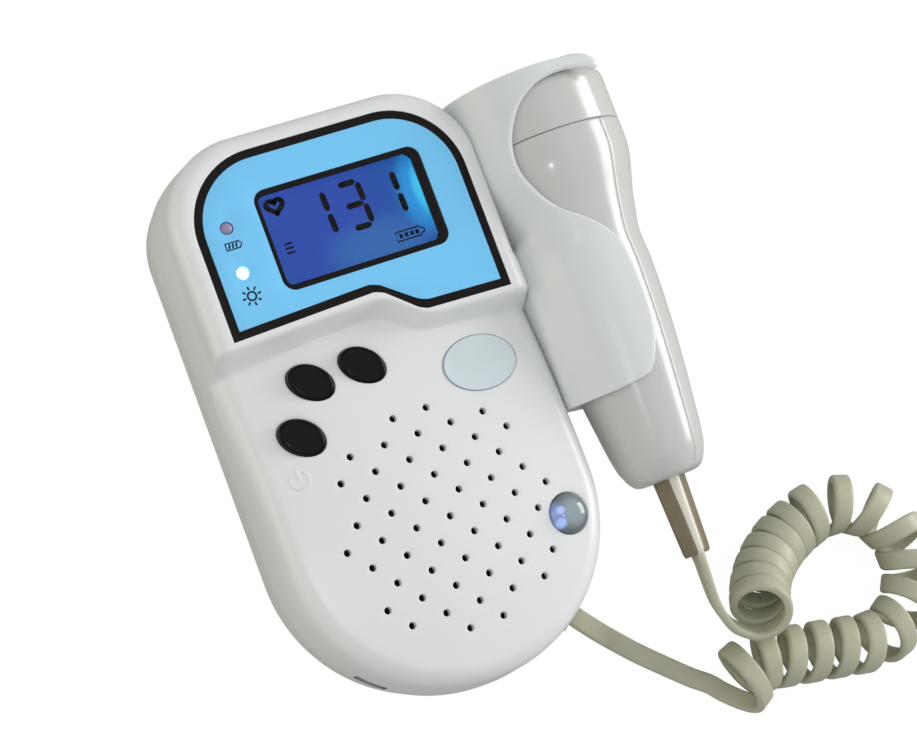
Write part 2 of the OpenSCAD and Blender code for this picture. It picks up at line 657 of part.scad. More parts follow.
function heading(s) = coil_heading + coil_share(s, 0) + coil_share(s, 1) + coil_share(s, 3);
function coil_share(s, i) =
  coil_bends[i][1] * max(0, min(1, (s - coil_ends[i]) / coil_bends[i][0]));
function dip(s) = -coil_dip * max(0, 1 - s / coil_dip_run);
function axis_dir(s) = [cos(heading(s)) * cos(dip(s)), sin(heading(s)) * cos(dip(s)), sin(dip(s))];
function step_up(s, at, run) = max(0, min(1, (s - at) / run));
function pitch(s) = coil_pitches[0] + (coil_pitches[1] - coil_pitches[0]) * step_up(s, 30, 10)
  + (coil_pitches[2] - coil_pitches[1]) * step_up(s, 90, 10);
function swell(s) = 1 + last_swell * step_up(s, coil_len - last_run, last_run);
start_angle = 270;
ring_angle = 45;
// Steps along the coil, each one ring apart: [point on the axis, length so far, angle]
function coil_walk(p, s, a) = s >= coil_len ? [[p, s, a]] :
  let (ds = pitch(s) * ring_angle / 360)
  concat([[p, s, a]], coil_walk(p + ds * axis_dir(s + ds / 2), s + ds, a - ring_angle));
walk = coil_walk(coil_start, 0, start_angle);
function left_of(s) = unit3(cross([0, 0, 1], axis_dir(s)));
function coil_point(w) = let (n = left_of(w[1]), b = cross(axis_dir(w[1]), n))
  w[0] + [0, 0, wire_r * (swell(w[1]) - 1)]
  + wire_r * swell(w[1]) * (cos(w[2]) * n + sin(w[2]) * b);
coil_points = [for (w = walk) coil_point(w)];
coil_cord_w = 3.7;                 // the modelled turns are a little narrower, to stay apart
function coil_rings() = [for (i = [0:len(walk) - 1])
  ring(coil_points[i], tangent(coil_points, i), axis_dir(walk[i][1]), coil_cord_w, cord_t)];

// Least gap between one turn and the next, measured on the rings' own points
function ring_gap(a, b) = min([for (p = a) for (q = b) norm(p - q)]);
all_rings = coil_rings();
gap = min([for (i = [0:len(all_rings) - 7]) min([for (k = [6:min(10, len(all_rings) - 1 - i)])
  ring_gap(all_rings[i], all_rings[i + k])])]);
echo(turns = (len(walk) - 1) / 8, least_gap = gap, first = coil_points[0],
  last = coil_points[len(coil_points) - 1]);

module coil_cord() color([0.66, 0.64, 0.53]) skin(all_rings);

// Free stretches, by hand-picked points
probe_lead_points = [[58, boot_end - 0.02, 21.4], [58, -61.5, 21.4], [57.9, -66, 21.2],
  [58.2, -71, 20.4], [59.7, -75.4, 19], [62, -78.6, 17.4]];
unit_lead_points = [[26.1, -62.2, 12], [28, -64.6, 11.7], [32, -68.5, 9.2], [37, -72.7, 5.4],
  [42, -77.1, 2.8], [47.5, -82, 1.7], [53, -87, 1.4], [56.9, -90.1, 1.35]];
module probe_lead() color([0.66, 0.64, 0.53]) {
  p = finer(concat(probe_lead_points, [coil_points[0]]), 3);
  n = len(p);
  skin([for (i = [0:n - 1]) ring(p[i], i == 0 ? [0, -1, 0] : i == n - 1 ?
    tangent(coil_points, 0) : tangent(p, i),
    unit3((1 - i / (n - 1)) * [0, 0, -1] + i / (n - 1) * axis_dir(0)), cord_w, cord_t)]);
}
module unit_lead() color([0.66, 0.64, 0.53]) {
  last = len(coil_points) - 1;
  p = finer(concat(unit_lead_points, [coil_points[last]]), 3);
  n = len(p);
  skin([for (i = [0:n - 1]) ring(p[i], i == 0 ? [cos(gland_turn), sin(gland_turn), 0] :
    i == n - 1 ? -tangent(coil_points, last) : tangent(p, i),
    unit3((1 - i / (n - 1)) * [-sin(gland_turn), cos(gland_turn), 0] - i / (n - 1)
    * axis_dir(coil_len)), cord_w, cord_t)]);
}

front_shell();
back_shell();
case_screw(0);  // case_screw_1
case_screw(1);  // case_screw_2
case_screw(2);  // case_screw_3
case_screw(3);  // case_screw_4
case_screw(4);  // case_screw_5
battery_door();
battery(0);  // battery_1
battery(1);  // battery_2
battery(2);  // battery_3
contact(-1);  // contact_left
contact(1);  // contact_right
label_border();
label_panel();
display_frame();
display_window();
display_glass();
backlight();
display_strips();
lamp(0);  // lamp_upper
lamp(1);  // lamp_lower
button(0);  // button_mode
button(1);  // button_volume
button(2);  // button_power
switch(0);  // switch_1
switch(1);  // switch_2
switch(2);  // switch_3
badge();
pulse_lens();
pulse_lamp();
main_board();
board_parts();
speaker_gasket();
speaker_cloth();
speaker_frame();
speaker_cone();
speaker_magnet();
charge_socket();
socket_board();
cord_gland();
holster();
holster_screw(0);  // holster_screw_1
holster_screw(1);  // holster_screw_2
holster_screw(2);  // holster_screw_3
probe_cap();
probe_face();
crystal();
probe_shell_front();
probe_shell_back();
probe_board();
probe_boot();
probe_lead();
coil_cord();
unit_lead();
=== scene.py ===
import bpy
import math
import numpy as np
from mathutils import Matrix, Vector, geometry


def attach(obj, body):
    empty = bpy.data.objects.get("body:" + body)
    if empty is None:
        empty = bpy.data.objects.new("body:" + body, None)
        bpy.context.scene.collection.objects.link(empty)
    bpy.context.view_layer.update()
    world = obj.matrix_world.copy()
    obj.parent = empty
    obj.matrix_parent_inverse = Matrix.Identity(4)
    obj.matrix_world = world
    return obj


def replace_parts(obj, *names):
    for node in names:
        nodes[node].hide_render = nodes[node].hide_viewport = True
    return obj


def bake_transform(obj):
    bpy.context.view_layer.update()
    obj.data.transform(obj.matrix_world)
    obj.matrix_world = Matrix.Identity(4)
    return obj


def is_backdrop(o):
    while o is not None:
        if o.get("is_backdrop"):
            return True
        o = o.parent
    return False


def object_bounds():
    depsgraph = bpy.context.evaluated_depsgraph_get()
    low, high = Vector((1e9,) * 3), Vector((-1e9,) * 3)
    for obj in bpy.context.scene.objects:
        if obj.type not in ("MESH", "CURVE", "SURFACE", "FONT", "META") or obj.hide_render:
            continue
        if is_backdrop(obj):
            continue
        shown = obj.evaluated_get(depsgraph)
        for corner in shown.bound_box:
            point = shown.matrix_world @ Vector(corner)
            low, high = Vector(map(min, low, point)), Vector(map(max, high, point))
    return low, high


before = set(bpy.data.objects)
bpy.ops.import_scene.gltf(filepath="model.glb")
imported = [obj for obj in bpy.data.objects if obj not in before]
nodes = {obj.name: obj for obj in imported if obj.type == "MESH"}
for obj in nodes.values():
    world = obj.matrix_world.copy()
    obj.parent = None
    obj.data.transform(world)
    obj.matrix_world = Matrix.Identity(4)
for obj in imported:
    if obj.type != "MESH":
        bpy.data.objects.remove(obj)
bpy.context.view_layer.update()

# ---- Camera: position and axes solved from the photograph, in the part's own frame -------------
cam = bpy.data.objects.new("camera", bpy.data.cameras.new("camera"))
bpy.context.scene.collection.objects.link(cam)
right = (0.8947, -0.3503, 0.2769)
down = (-0.3038, -0.9320, -0.1976)
forward = (0.3273, 0.0926, -0.9404)
place = (-0.156609, -0.049168, 0.520522)
cam.matrix_world = Matrix([[right[i], -down[i], -forward[i], place[i]] for i in range(3)]
                          + [[0, 0, 0, 1]])
cam.data.sensor_width = 36
cam.data.lens = 36 * 2248.5 / 917
cam.data.clip_start = 0.01
cam.data.clip_end = 20
bpy.context.scene.camera = cam


# ---- Mesh and material helpers; all sizes below are in millimetres -----------------------------
def unit3(v):
    return v / np.linalg.norm(v)


def piece(name, verts, faces, body, slot, material, sharp=38, parent=True):
    """A new mesh piece from points in millimetres, welded and shaded smooth up to an angle."""
    import bmesh
    mesh = bpy.data.meshes.new(name)
    mesh.from_pydata([tuple(0.001 * float(c) for c in v) for v in verts], [], faces)
    bm = bmesh.new()
    bm.from_mesh(mesh)
    bmesh.ops.remove_doubles(bm, verts=bm.verts, dist=2e-6)
    bmesh.ops.dissolve_degenerate(bm, dist=1e-7, edges=bm.edges)
    bmesh.ops.recalc_face_normals(bm, faces=bm.faces)
    for f in bm.faces:
        f.smooth = True
    bm.to_mesh(mesh)
    bm.free()
    mesh.set_sharp_from_angle(angle=math.radians(sharp))
    mesh.materials.append(material)
    obj = bpy.data.objects.new(name, mesh)
    bpy.context.scene.collection.objects.link(obj)
    if parent:
        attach(obj, body)
    return obj


def copy_of(node, name, body, material, bevel=0.0, sharp=38, move=None):
    """The node's own shape with softened edges and clean shading; move shifts its points."""
    import bmesh
    mesh = nodes[node].data.copy()
    mesh.name = name
    bm = bmesh.new()
    bm.from_mesh(mesh)
    bmesh.ops.remove_doubles(bm, verts=bm.verts, dist=1e-6)
    bmesh.ops.dissolve_limit(bm, angle_limit=math.radians(1), verts=bm.verts, edges=bm.edges)
    for f in bm.faces:
        f.smooth = True
    for vert in bm.verts if move else ():
        vert.co = [0.001 * c for c in move(*(1000 * c for c in vert.co))]
    bm.to_mesh(mesh)
    bm.free()
    for a in ("custom_normal", "sharp_face"):
        if a in mesh.attributes:
            mesh.attributes.remove(mesh.attributes[a])
    mesh.set_sharp_from_angle(angle=math.radians(sharp))
    mesh.materials.clear()
    mesh.materials.append(material)
    obj = bpy.data.objects.new(name, mesh)
    bpy.context.scene.collection.objects.link(obj)
    if bevel:
        m = obj.modifiers.new("edges", "BEVEL")
        m.width = bevel * 0.001
        m.segments = 3
        m.angle_limit = math.radians(35)
        m.harden_normals = True
    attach(obj, body)
    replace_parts(obj, node)
    return obj


def surface(name, colour, rough=0.3, vary=0.03, patch=14.0, grain=0.0, grain_size=0.35, **sockets):
    """A procedural material: slow changes of tone and gloss, with a fine moulded or worn grain."""
    m = bpy.data.materials.new(name)
    m.use_nodes = True
    t = m.node_tree
    p = t.nodes["Principled BSDF"]
    where = t.nodes.new("ShaderNodeTexCoord").outputs["Object"]

    def noise(size, detail):
        n = t.nodes.new("ShaderNodeTexNoise")
        n.inputs["Scale"].default_value = 1000.0 / size
        n.inputs["Detail"].default_value = detail
        t.links.new(where, n.inputs["Vector"])
        return n.outputs["Fac"]

    slow = noise(patch, 3)
    ramp = t.nodes.new("ShaderNodeValToRGB")
    ramp.color_ramp.elements[0].position = 0.3
    ramp.color_ramp.elements[1].position = 0.7
    ramp.color_ramp.elements[0].color = [c * (1 - vary) for c in colour] + [1]
    ramp.color_ramp.elements[1].color = [min(1, c * (1 + vary)) for c in colour] + [1]
    t.links.new(slow, ramp.inputs["Fac"])
    t.links.new(ramp.outputs["Color"], p.inputs["Base Color"])
    gloss = t.nodes.new("ShaderNodeMapRange")
    gloss.inputs["To Min"].default_value = rough * 0.85
    gloss.inputs["To Max"].default_value = min(1, rough * 1.15)
    t.links.new(noise(patch * 0.4, 2), gloss.inputs["Value"])
    t.links.new(gloss.outputs["Result"], p.inputs["Roughness"])
    if grain:
        b = t.nodes.new("ShaderNodeBump")
        b.inputs["Strength"].default_value = grain
        b.inputs["Distance"].default_value = 0.0001
        t.links.new(noise(grain_size, 4), b.inputs["Height"])
        t.links.new(b.outputs["Normal"], p.inputs["Normal"])
    for key, value in sockets.items():
        p.inputs[key.replace("_", " ")].default_value = value
    return m


def dress(material, *names):
    for n in names:
        o = nodes[n]
        o.data.materials.clear()
        o.data.materials.append(material)


def skin(rings, closed=True, caps=False):
    """Faces between rings of equally many points; closed joins each ring's ends."""
    n = len(rings[0])
    verts = [p for r in rings for p in r]
    faces = []
    for i in range(len(rings) - 1):
        for k in range(n if closed else n - 1):
            a, b = i * n + k, i * n + (k + 1) % n
            faces.append((a, b, b + n, a + n))
    if caps:
        faces.append(tuple(range(n))[::-1])
        faces.append(tuple((len(rings) - 1) * n + k for k in range(n)))
    return verts, faces


def joined(*parts):
    verts, faces = [], []
    for v, f in parts:
        k = len(verts)
        verts += list(v)
        faces += [tuple(i + k for i in q) for q in f]
    return verts, faces


# ---- Cord: one flat curly cord from the probe to the unit --------------------------------------
# The routes repeat the part's own; the coil comes from the same lengths, turns and pitches.
CORD_W, CORD_T, COIL_D = 4.9, 2.1, 15.0
GLAND = math.radians(-51)
bends = [(36, -41.3), (63, -205), (24, 0), (14, 47)]
ends = np.cumsum([0] + [b[0] for b in bends])
WIRE_R = COIL_D / 2 - CORD_T / 2


def step_up(s, at, run):
    return max(0.0, min(1.0, (s - at) / run))


def heading(s):
    return math.radians(55 + sum(b[1] * step_up(s, ends[i], b[0]) for i, b in enumerate(bends)))


def axis_dir(s):
    dip, h = math.radians(-49.6 * max(0, 1 - s / 30)), heading(s)
    return np.array([math.cos(h) * math.cos(dip), math.sin(h) * math.cos(dip), math.sin(dip)])


def pitch(s):
    return 5.3 + 3.8 * step_up(s, 30, 10) - 1.9 * step_up(s, 90, 10)


def swell(s):
    return 1 + 0.28 * step_up(s, ends[-1] - 9, 9)


def coil_route(sub=4):
    """Points of the coil and the direction of its axis at each, in steps of 45/sub degrees."""
    p, s, a = np.array([69.1, -77.5, 20.0]), 0.0, 270.0
    walk = [(p, s, a)]
    while s < ends[-1]:
        ds = pitch(s) * 45 / 360
        for k in range(1, sub + 1):
            f = k / sub
            walk.append((p + f * ds * axis_dir(s + ds / 2), s + f * ds, a - 45 * f))
        p, s, a = walk[-1]
    points, sides = [], []
    for p, s, a in walk:
        d = axis_dir(s)
        n = unit3(np.cross([0, 0, 1], d))
        b = np.cross(d, n)
        c, w = math.radians(a), swell(s)
        points.append(p + [0, 0, WIRE_R * (w - 1)]
                      + WIRE_R * w * (math.cos(c) * n + math.sin(c) * b))
        sides.append(d)
    return np.array(points), np.array(sides)


def smooth(points, m):
    """A smooth line through the points, m steps to each stretch."""
    p = [np.array(q, float) for q in points]
    out = []
    for k in range(len(p) - 1):
        a, b, c, d = p[max(k - 1, 0)], p[k], p[k + 1], p[min(k + 2, len(p) - 1)]
        for j in range(m):
            u = j / m
            out.append(0.5 * (2 * b + (c - a) * u + (2 * a - 5 * b + 4 * c - d) * u * u
                              + (3 * b - a - 3 * c + d) * u ** 3))
    return np.array(out + [p[-1]])


def ribbon(points, sides, first=None, last=None, width=CORD_W, thick=CORD_T, n=5):
    """A flat cord with rounded edges along the points; sides give the direction of its width."""
    corners = []
    r = thick * 0.42
    for cx, cy, a0 in ((1, 1, 0), (-1, 1, 90), (-1, -1, 180), (1, -1, 270)):
        for k in range(n):
            a = math.radians(a0 + 90 * k / (n - 1))
            corners.append((cx * (width / 2 - r) + r * math.cos(a),
                            cy * (thick / 2 - r) + r * math.sin(a)))
    rings = []
    for i, p in enumerate(points):
        t = points[min(i + 1, len(points) - 1)] - points[max(i - 1, 0)]
        if i == 0 and first is not None:
            t = np.array(first)
        if i == len(points) - 1 and last is not None:
            t = np.array(last)
        t = unit3(t)
        up = unit3(np.cross(t, sides[i]))
        side = unit3(np.cross(up, t))
        rings.append([p + side * x + up * y for x, y in corners])
    return skin(rings, caps=True)


cord_skin = surface("cord", (0.46, 0.45, 0.325), rough=0.42, vary=0.06, patch=9, grain=0.25,
                    grain_size=0.5, Specular_IOR_Level=0.4)
coil, coil_sides = coil_route()
k = 8                                   # the probe's lead goes on for this many steps of the coil
lead = smooth([[58, -59.22, 21.4], [58, -61.5, 21.4], [57.9, -66, 21.2], [58.2, -71, 20.4],
               [59.7, -75.4, 19], [62, -78.6, 17.4], list(coil[0])], 5)
n = len(lead)
lead_sides = [unit3((1 - i / (n - 1)) * np.array([0, 0, -1]) + i / (n - 1) * coil_sides[0])
              for i in range(n)]
lead_all = np.vstack([lead, coil[1:k + 1]])
sides_all = np.vstack([lead_sides, coil_sides[1:k + 1]])
v, f = ribbon(lead_all, sides_all, first=[0, -1, 0], last=coil[k + 1] - coil[k - 1])
probe_cord = piece("probe_cord", v, f, "unit", "cord_beige", cord_skin, sharp=60, parent=False)
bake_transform(probe_cord)
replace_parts(probe_cord, "probe_lead")

unit_lead = smooth([list(coil[-1]), [56.9, -90.1, 1.35], [53, -87, 1.4], [47.5, -82, 1.7],
                    [42, -77.1, 2.8], [37, -72.7, 5.4], [32, -68.5, 9.2], [28, -64.6, 11.7],
                    [26.1, -62.2, 12]], 5)
n = len(unit_lead)
gland_side = np.array([-math.sin(GLAND), math.cos(GLAND), 0])
unit_sides = [unit3((1 - i / (n - 1)) * -coil_sides[-1] + i / (n - 1) * gland_side)
              for i in range(n)]
main = np.vstack([coil[k:], unit_lead[1:]])
main_sides = np.vstack([coil_sides[k:], [-s for s in unit_sides[1:]]])
v, f = ribbon(main, main_sides, first=coil[k + 1] - coil[k - 1],
              last=[-math.cos(GLAND), -math.sin(GLAND), 0])
curly = piece("curly_cord", v, f, "unit", "cord_beige", cord_skin, sharp=60)
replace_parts(curly, "coil_cord", "unit_lead")

# ---- Unit: outline and face ---------------------------------------------------------------------
# The outline is a half circle below and two corners above, sampled closely where the step is.
HALF_W, TOP_Y, CORNER_R, DEPTH, SPLIT, EDGE, DRAFT = 39.0, 69.7, 21.4, 32.0, 10.0, 4.0, 1.0
ROUND_Y = HALF_W - TOP_Y
SOCKET, SOCKET_HALF = math.radians(-132), math.asin(3.9 / 39)


def outline():
    """Points and outward normals once round, from the right wall upwards."""
    pts = []
    ys = (list(np.arange(ROUND_Y, 8, 2.5)) + list(np.arange(8, 25, 0.5))
          + list(np.arange(25, 48.3, 2.5)))
    for y in ys:
        pts.append(((HALF_W, y), (1, 0)))
    cx, cy = HALF_W - CORNER_R, TOP_Y - CORNER_R
    for a in np.linspace(0, 90, 37):
        c, s = math.cos(math.radians(a)), math.sin(math.radians(a))
        pts.append(((cx + CORNER_R * c, cy + CORNER_R * s), (c, s)))
    for x in np.linspace(cx, -cx, 16)[1:-1]:
        pts.append(((x, TOP_Y), (0, 1)))
    for a in np.linspace(90, 180, 37):
        c, s = math.cos(math.radians(a)), math.sin(math.radians(a))
        pts.append(((-cx + CORNER_R * c, cy + CORNER_R * s), (c, s)))
    for y in ys[:0:-1]:
        pts.append(((-HALF_W, y), (-1, 0)))
    ang = sorted(set(np.round(np.linspace(-180, 0, 121)[:-1], 4))
                 | {round(math.degrees(SOCKET - SOCKET_HALF), 4),
                    round(math.degrees(SOCKET + SOCKET_HALF), 4)})
    for a in ang:
        c, s = math.cos(math.radians(a)), math.sin(math.radians(a))
        pts.append(((HALF_W * c, ROUND_Y + HALF_W * s), (c, s)))
    return np.array([p for p, _ in pts]), np.array([q for _, q in pts])


def soft_max(a, b, k):
    h = np.clip(0.5 + 0.5 * (a - b) / k, 0, 1)
    return b * (1 - h) + a * h + k * h * (1 - h)


def dome(x, y):
    return 31.3 - 190 + np.sqrt(190.0 ** 2 - x ** 2 - (y - ROUND_Y) ** 2)


def above(x, y, px, py, turn):
    t = math.radians(turn)
    return -(x - px) * math.sin(t) + (y - py) * math.cos(t)


def face(x, y):
    """Height of the face: the dome below, the raised label part above, a soft step between."""
    x, y = np.asarray(x, float), np.asarray(y, float)
    d = soft_max(above(x, y, 0, 22.1, 2.1),
                 -soft_max(-above(x, y, 6.3, 19.1, -38.4),
                           -above(x, y, 12.4, 14.8, -1.9), 1.6), 2.6)
    low = dome(x, y)
    rise = DEPTH - low
    t = np.clip((0.45 - d) / (0.40 * rise + 0.9), 0, 1)
    return low + rise * (1 - t * t * (3 - 2 * t)) * (rise > 0) + np.minimum(rise, 0)


def inside(poly, x, y):
    poly = np.asarray(poly)
    hit = np.zeros(np.shape(x), bool)
    x0, y0 = poly[:, 0], poly[:, 1]
    x1, y1 = np.roll(x0, -1), np.roll(y0, -1)
    for a, b, c, d in zip(x0, y0, x1, y1):
        if b != d:
            hit ^= ((b > y) != (d > y)) & (x < (c - a) * (y - b) / (d - b) + a)
    return hit


def fill(outer, holes, height, grids):
    """Triangles between the outer loop and the holes, lifted to the height of each point."""
    loops = [np.asarray(outer)] + [np.asarray(h) for h in holes]
    pts, edges = [], []
    for loop in loops:
        a = len(pts)
        pts += [tuple(p) for p in loop]
        edges += [(a + i, a + (i + 1) % len(loop)) for i in range(len(loop))]
    rim = np.array(pts)
    for step, x0, y0, x1, y1 in grids:
        gx, gy = np.meshgrid(np.arange(x0, x1, step), np.arange(y0, y1, step))
        gx = gx + (np.arange(gx.shape[0]) % 2)[:, None] * step / 2
        gx, gy = gx.ravel(), gy.ravel()
        ok = inside(loops[0], gx, gy)
        for h in loops[1:]:
            ok &= ~inside(h, gx, gy)
        gx, gy = gx[ok], gy[ok]
        far = np.array([np.min((rim[:, 0] - a) ** 2 + (rim[:, 1] - b) ** 2)
                        for a, b in zip(gx, gy)])
        keep = far > (0.55 * step) ** 2
        pts += list(zip(gx[keep], gy[keep]))
    out = geometry.delaunay_2d_cdt([Vector(p) for p in pts], edges, [], 0, 1e-5)
    xy = np.array([tuple(p) for p in out[0]])
    tri = np.array([t for t in out[2] if len(t) == 3])
    mid = xy[tri].mean(axis=1)
    ok = inside(loops[0], mid[:, 0], mid[:, 1])
    for h in loops[1:]:
        ok &= ~inside(h, mid[:, 0], mid[:, 1])
    z = height(xy[:, 0], xy[:, 1])
    return [(a, b, c) for (a, b), c in zip(xy, z)], [tuple(int(i) for i in t) for t in tri[ok]]


def oval(cx, cy, a, b, turn=0, n=48):
    t = math.radians(turn)
    out = []
    for i in range(n):
        u, w = a / 2 * math.cos(2 * math.pi * i / n), b / 2 * math.sin(2 * math.pi * i / n)
        out.append((cx + u * math.cos(t) - w * math.sin(t), cy + u * math.sin(t) + w * math.cos(t)))
    return np.array(out)


def label_outline(d):
    x, top, r = 33.7 - d, 64.1 - d, 18.0 - d
    low = smooth_corners([(-x, 22.4 + d), (1.4 - 0.3 * d, 23.7 + d), (3.6 - 0.2 * d, 22.9 + d),
                          (10.4 + 0.2 * d, 17.2 + d), (12.4 + 0.3 * d, 16.3 + d), (x, 15.6 + d)])
    arc = [math.radians(5 * i) for i in range(19)]
    return np.array(low + [(x - r + r * math.cos(a), top - r + r * math.sin(a)) for a in arc]
                    + [(-x + r - r * math.sin(a), top - r + r * math.cos(a)) for a in arc])


def smooth_corners(p, cut=0.32, m=6):
    """Rounds the inner corners of an open line, keeping its ends."""
    out = [p[0]]
    for i in range(1, len(p) - 1):
        a, b, c = (np.array(q, float) for q in p[i - 1:i + 2])
        la, lc = np.linalg.norm(a - b), np.linalg.norm(c - b)
        k = min(cut * la, cut * lc, 1.6)
        s, e = b + (a - b) * k / la, b + (c - b) * k / lc
        for j in range(m + 1):
            u = j / m
            out.append(tuple((1 - u) ** 2 * s + 2 * u * (1 - u) * b + u * u * e))
    return out + [p[-1]]


BUTTONS = [(-5.9, 9.0), (-18.7, 9.0), (-25.5, -2.5)]
BUTTON_TURN = -40
HOLES = [(i * 4.22, ROUND_Y - j * 5.09) for j in range(-5, 6) for i in range(-6, 7)
         if (i + j) % 2 == 0 and i * i * 0.95 + j * j * 1.45 < 39]
LENS = (28.0, -39.4)

# ---- Front shell --------------------------------------------------------------------------------
# Wall, rounded edge and face in one skin, with the grille, button and label openings.
shell_white = surface("shell_white", (0.80, 0.81, 0.79), rough=0.30, vary=0.012, patch=30,
                      grain=0.10, grain_size=0.30, Specular_IOR_Level=0.5)
rim, out = outline()
n_rim = len(rim)


def scooped(p):
    """Keeps a wall point out of the holster's bed."""
    x, y, z = p
    if y > 20 and x > 20:
        room = 22.4 ** 2 - (z - 21.4) ** 2
        if room > 0:
            ease = min(1.0, (y - 20) / 3)
            if x > 58 - math.sqrt(room):
                x = min(x, HALF_W + (58 - math.sqrt(room) - HALF_W) * ease)
    return (x, y, z)


BULGE = 1.05       # the most that the outer wall swells out past the outline


def belly(z, ny):
    """How far the wall swells out: most along the parting line, less at the two ends."""
    return BULGE * (1 - 0.65 * ny * ny) * (1 - min(1.0, max(0.0, z - SPLIT) / 15) ** 2)


def lean(q):
    return DRAFT * (1 - 0.8 * abs(q[0]))


LEVEL = 14.1       # above this height the wall follows the face
levels = [(0.46, SPLIT + 0.02), (0.20, SPLIT + 0.10), (0.05, SPLIT + 0.28), (0.02, 10.9),
          (0.10, LEVEL)]
rings = []
for d, z in levels:
    gaps = [d - belly(z, q[1]) for q in out]
    rings.append([(p[0] - q[0] * g, p[1] - q[1] * g, z) for p, q, g in zip(rim, out, gaps)])
ROUND = 4.2        # radius of the rounded edge of the face
start = []
for p, q in zip(rim, out):
    d = lean(q) + ROUND
    start.append(float(face(p[0] - q[0] * d, p[1] - q[1] * d)))
for share in (0.2, 0.4, 0.6, 0.8):
    row = []
    for p, q, top in zip(rim, out, start):
        z = LEVEL + (top - ROUND - LEVEL) * share
        d = lean(q) * (z - SPLIT) / (DEPTH - EDGE - SPLIT) - belly(z, q[1])
        row.append((p[0] - q[0] * d, p[1] - q[1] * d, z))
    rings.append(row)
for a in np.linspace(0, 90, 12):
    row = []
    for p, q, top in zip(rim, out, start):
        d = (lean(q) * (top - ROUND - SPLIT) / (DEPTH - EDGE - SPLIT)
             + ROUND * (1 - math.cos(math.radians(a))))
        d -= belly(top - ROUND * (1 - math.sin(math.radians(a))), q[1]) * (1 - a / 90)
        x, y = p[0] - q[0] * d, p[1] - q[1] * d
        row.append((x, y, float(face(x, y)) - ROUND * (1 - math.sin(math.radians(a)))))
    rings.append(row)
inner = np.array([(x, y) for x, y, z in rings[-1]])
rings = [[scooped(p) for p in r] for r in rings]
v, f = skin(rings)
slot_faces = set()
for i, (p, q) in enumerate(zip(rim, out)):
    j = (i + 1) % n_rim
    a, b = math.atan2(out[i][1], out[i][0]), math.atan2(out[j][1], out[j][0])
    if SOCKET - SOCKET_HALF - 1e-4 < a and b < SOCKET + SOCKET_HALF + 1e-4 and a < 0 and b < 0:
        slot_faces.add((3 * n_rim + i, 3 * n_rim + j, 4 * n_rim + j, 4 * n_rim + i))
wall = (v, [q for q in f if q not in slot_faces])

cuts, strips = [], []


def opening(loop, depth, lip=0.0):
    """An opening in the face: its loop, its rounded lip and the wall that goes down from it."""
    loop = np.asarray(loop)
    mid = loop.mean(axis=0)
    rows = []
    for back, drop in ((0, 0), (0.35 * lip, 0.1 * lip), (0.75 * lip, 0.4 * lip), (lip, lip),
                       (lip, depth)):
        row = []
        for p in loop:
            r = unit3(p - mid)
            row.append((p[0] - r[0] * back, p[1] - r[1] * back, float(face(p[0], p[1])) - drop))
        rows.append(row)
    cuts.append(loop)
    strips.append(skin(rows))


for x, y in HOLES:
    opening(oval(x, y, 2.05, 2.05, n=20), 2.2, lip=0.17)
for x, y in BUTTONS:
    opening(oval(x, y, 12.1, 8.9, BUTTON_TURN, 56), 3.6, lip=0.25)
opening(oval(LENS[0], LENS[1], 10.5, 10.5, n=48), 3.0, lip=0.28)
opening(label_outline(-0.18), 0.8, lip=0.1)
top = fill(inner, cuts, face, [(0.55, -38, 7.5, 38, 24.5), (1.25, -38, -70, 38, 7.4),
                               (2.5, -38, 24.6, 38, 70)])
front = piece("front_housing", *joined(wall, top, *strips), "unit", "shell_white", shell_white, sharp=50)
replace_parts(front, "front_shell")

POWER = (-29.5, -11.6)                                     # middle of the raised power sign
arc = [(POWER[0] + 2.1 * math.sin(math.radians(a)), POWER[1] + 2.1 * math.cos(math.radians(a)), 0)
       for a in range(38, 323, 12)]
stem = [(POWER[0], -11.4, 0), (POWER[0], -9.1, 0)]
raised = []
for run in (arc, stem):
    q = np.array(run)
    d = np.gradient(q, axis=0)
    rows = []
    for p, e in zip(q, d):
        n2 = unit3(np.array([-e[1], e[0]]))
        rows.append([(p[0] + n2[0] * w, p[1] + n2[1] * w,
                      float(face(p[0] + n2[0] * w, p[1] + n2[1] * w)) + h)
                     for w, h in ((-0.34, -0.05), (-0.24, 0.10), (-0.1, 0.17),
                                  (0.1, 0.17), (0.24, 0.10), (0.34, -0.05))])
    raised.append(skin(rows, caps=True))
piece("power_mark", *joined(*raised), "unit", "shell_white", shell_white)

# ---- Back shell, battery door and screws --------------------------------------------------------
shell_back = surface("shell_back", (0.76, 0.76, 0.73), rough=0.36, vary=0.015, patch=30, grain=0.18)
def fuller(x, y, z):
    """Moves the back's outer wall outwards, upright down to a small foot radius."""
    cx, cy = HALF_W - CORNER_R, TOP_Y - CORNER_R
    if y < ROUND_Y:
        mid, r = (0.0, ROUND_Y), HALF_W
    elif abs(x) > cx and y > cy:
        mid, r = (math.copysign(cx, x), cy), CORNER_R
    elif y > cy:
        mid, r = (x, cy), CORNER_R
    else:
        mid, r = (0.0, y), HALF_W
    dx, dy = x - mid[0], y - mid[1]
    reach = math.hypot(dx, dy)
    gap = r - reach
    if reach < 1e-6 or gap > 6 or gap < -0.5:
        return x, y, z
    upright = (DRAFT * min(1, (SPLIT - z) / 6) if z < SPLIT else 0.0)
    share = 1 - 0.65 * (dy / reach) ** 2
    push = (BULGE + 0.85 * upright) * share * min(1.0, max(0.0, (6 - gap) / 2.6))
    if z < 3.9 and gap < 5.1:
        push += 0.55 * share * max(0.0, gap - 1) * max(0.0, 1 - (gap - 1) / 4.1)
    k = (reach + push) / reach
    return mid[0] + dx * k, mid[1] + dy * k, z


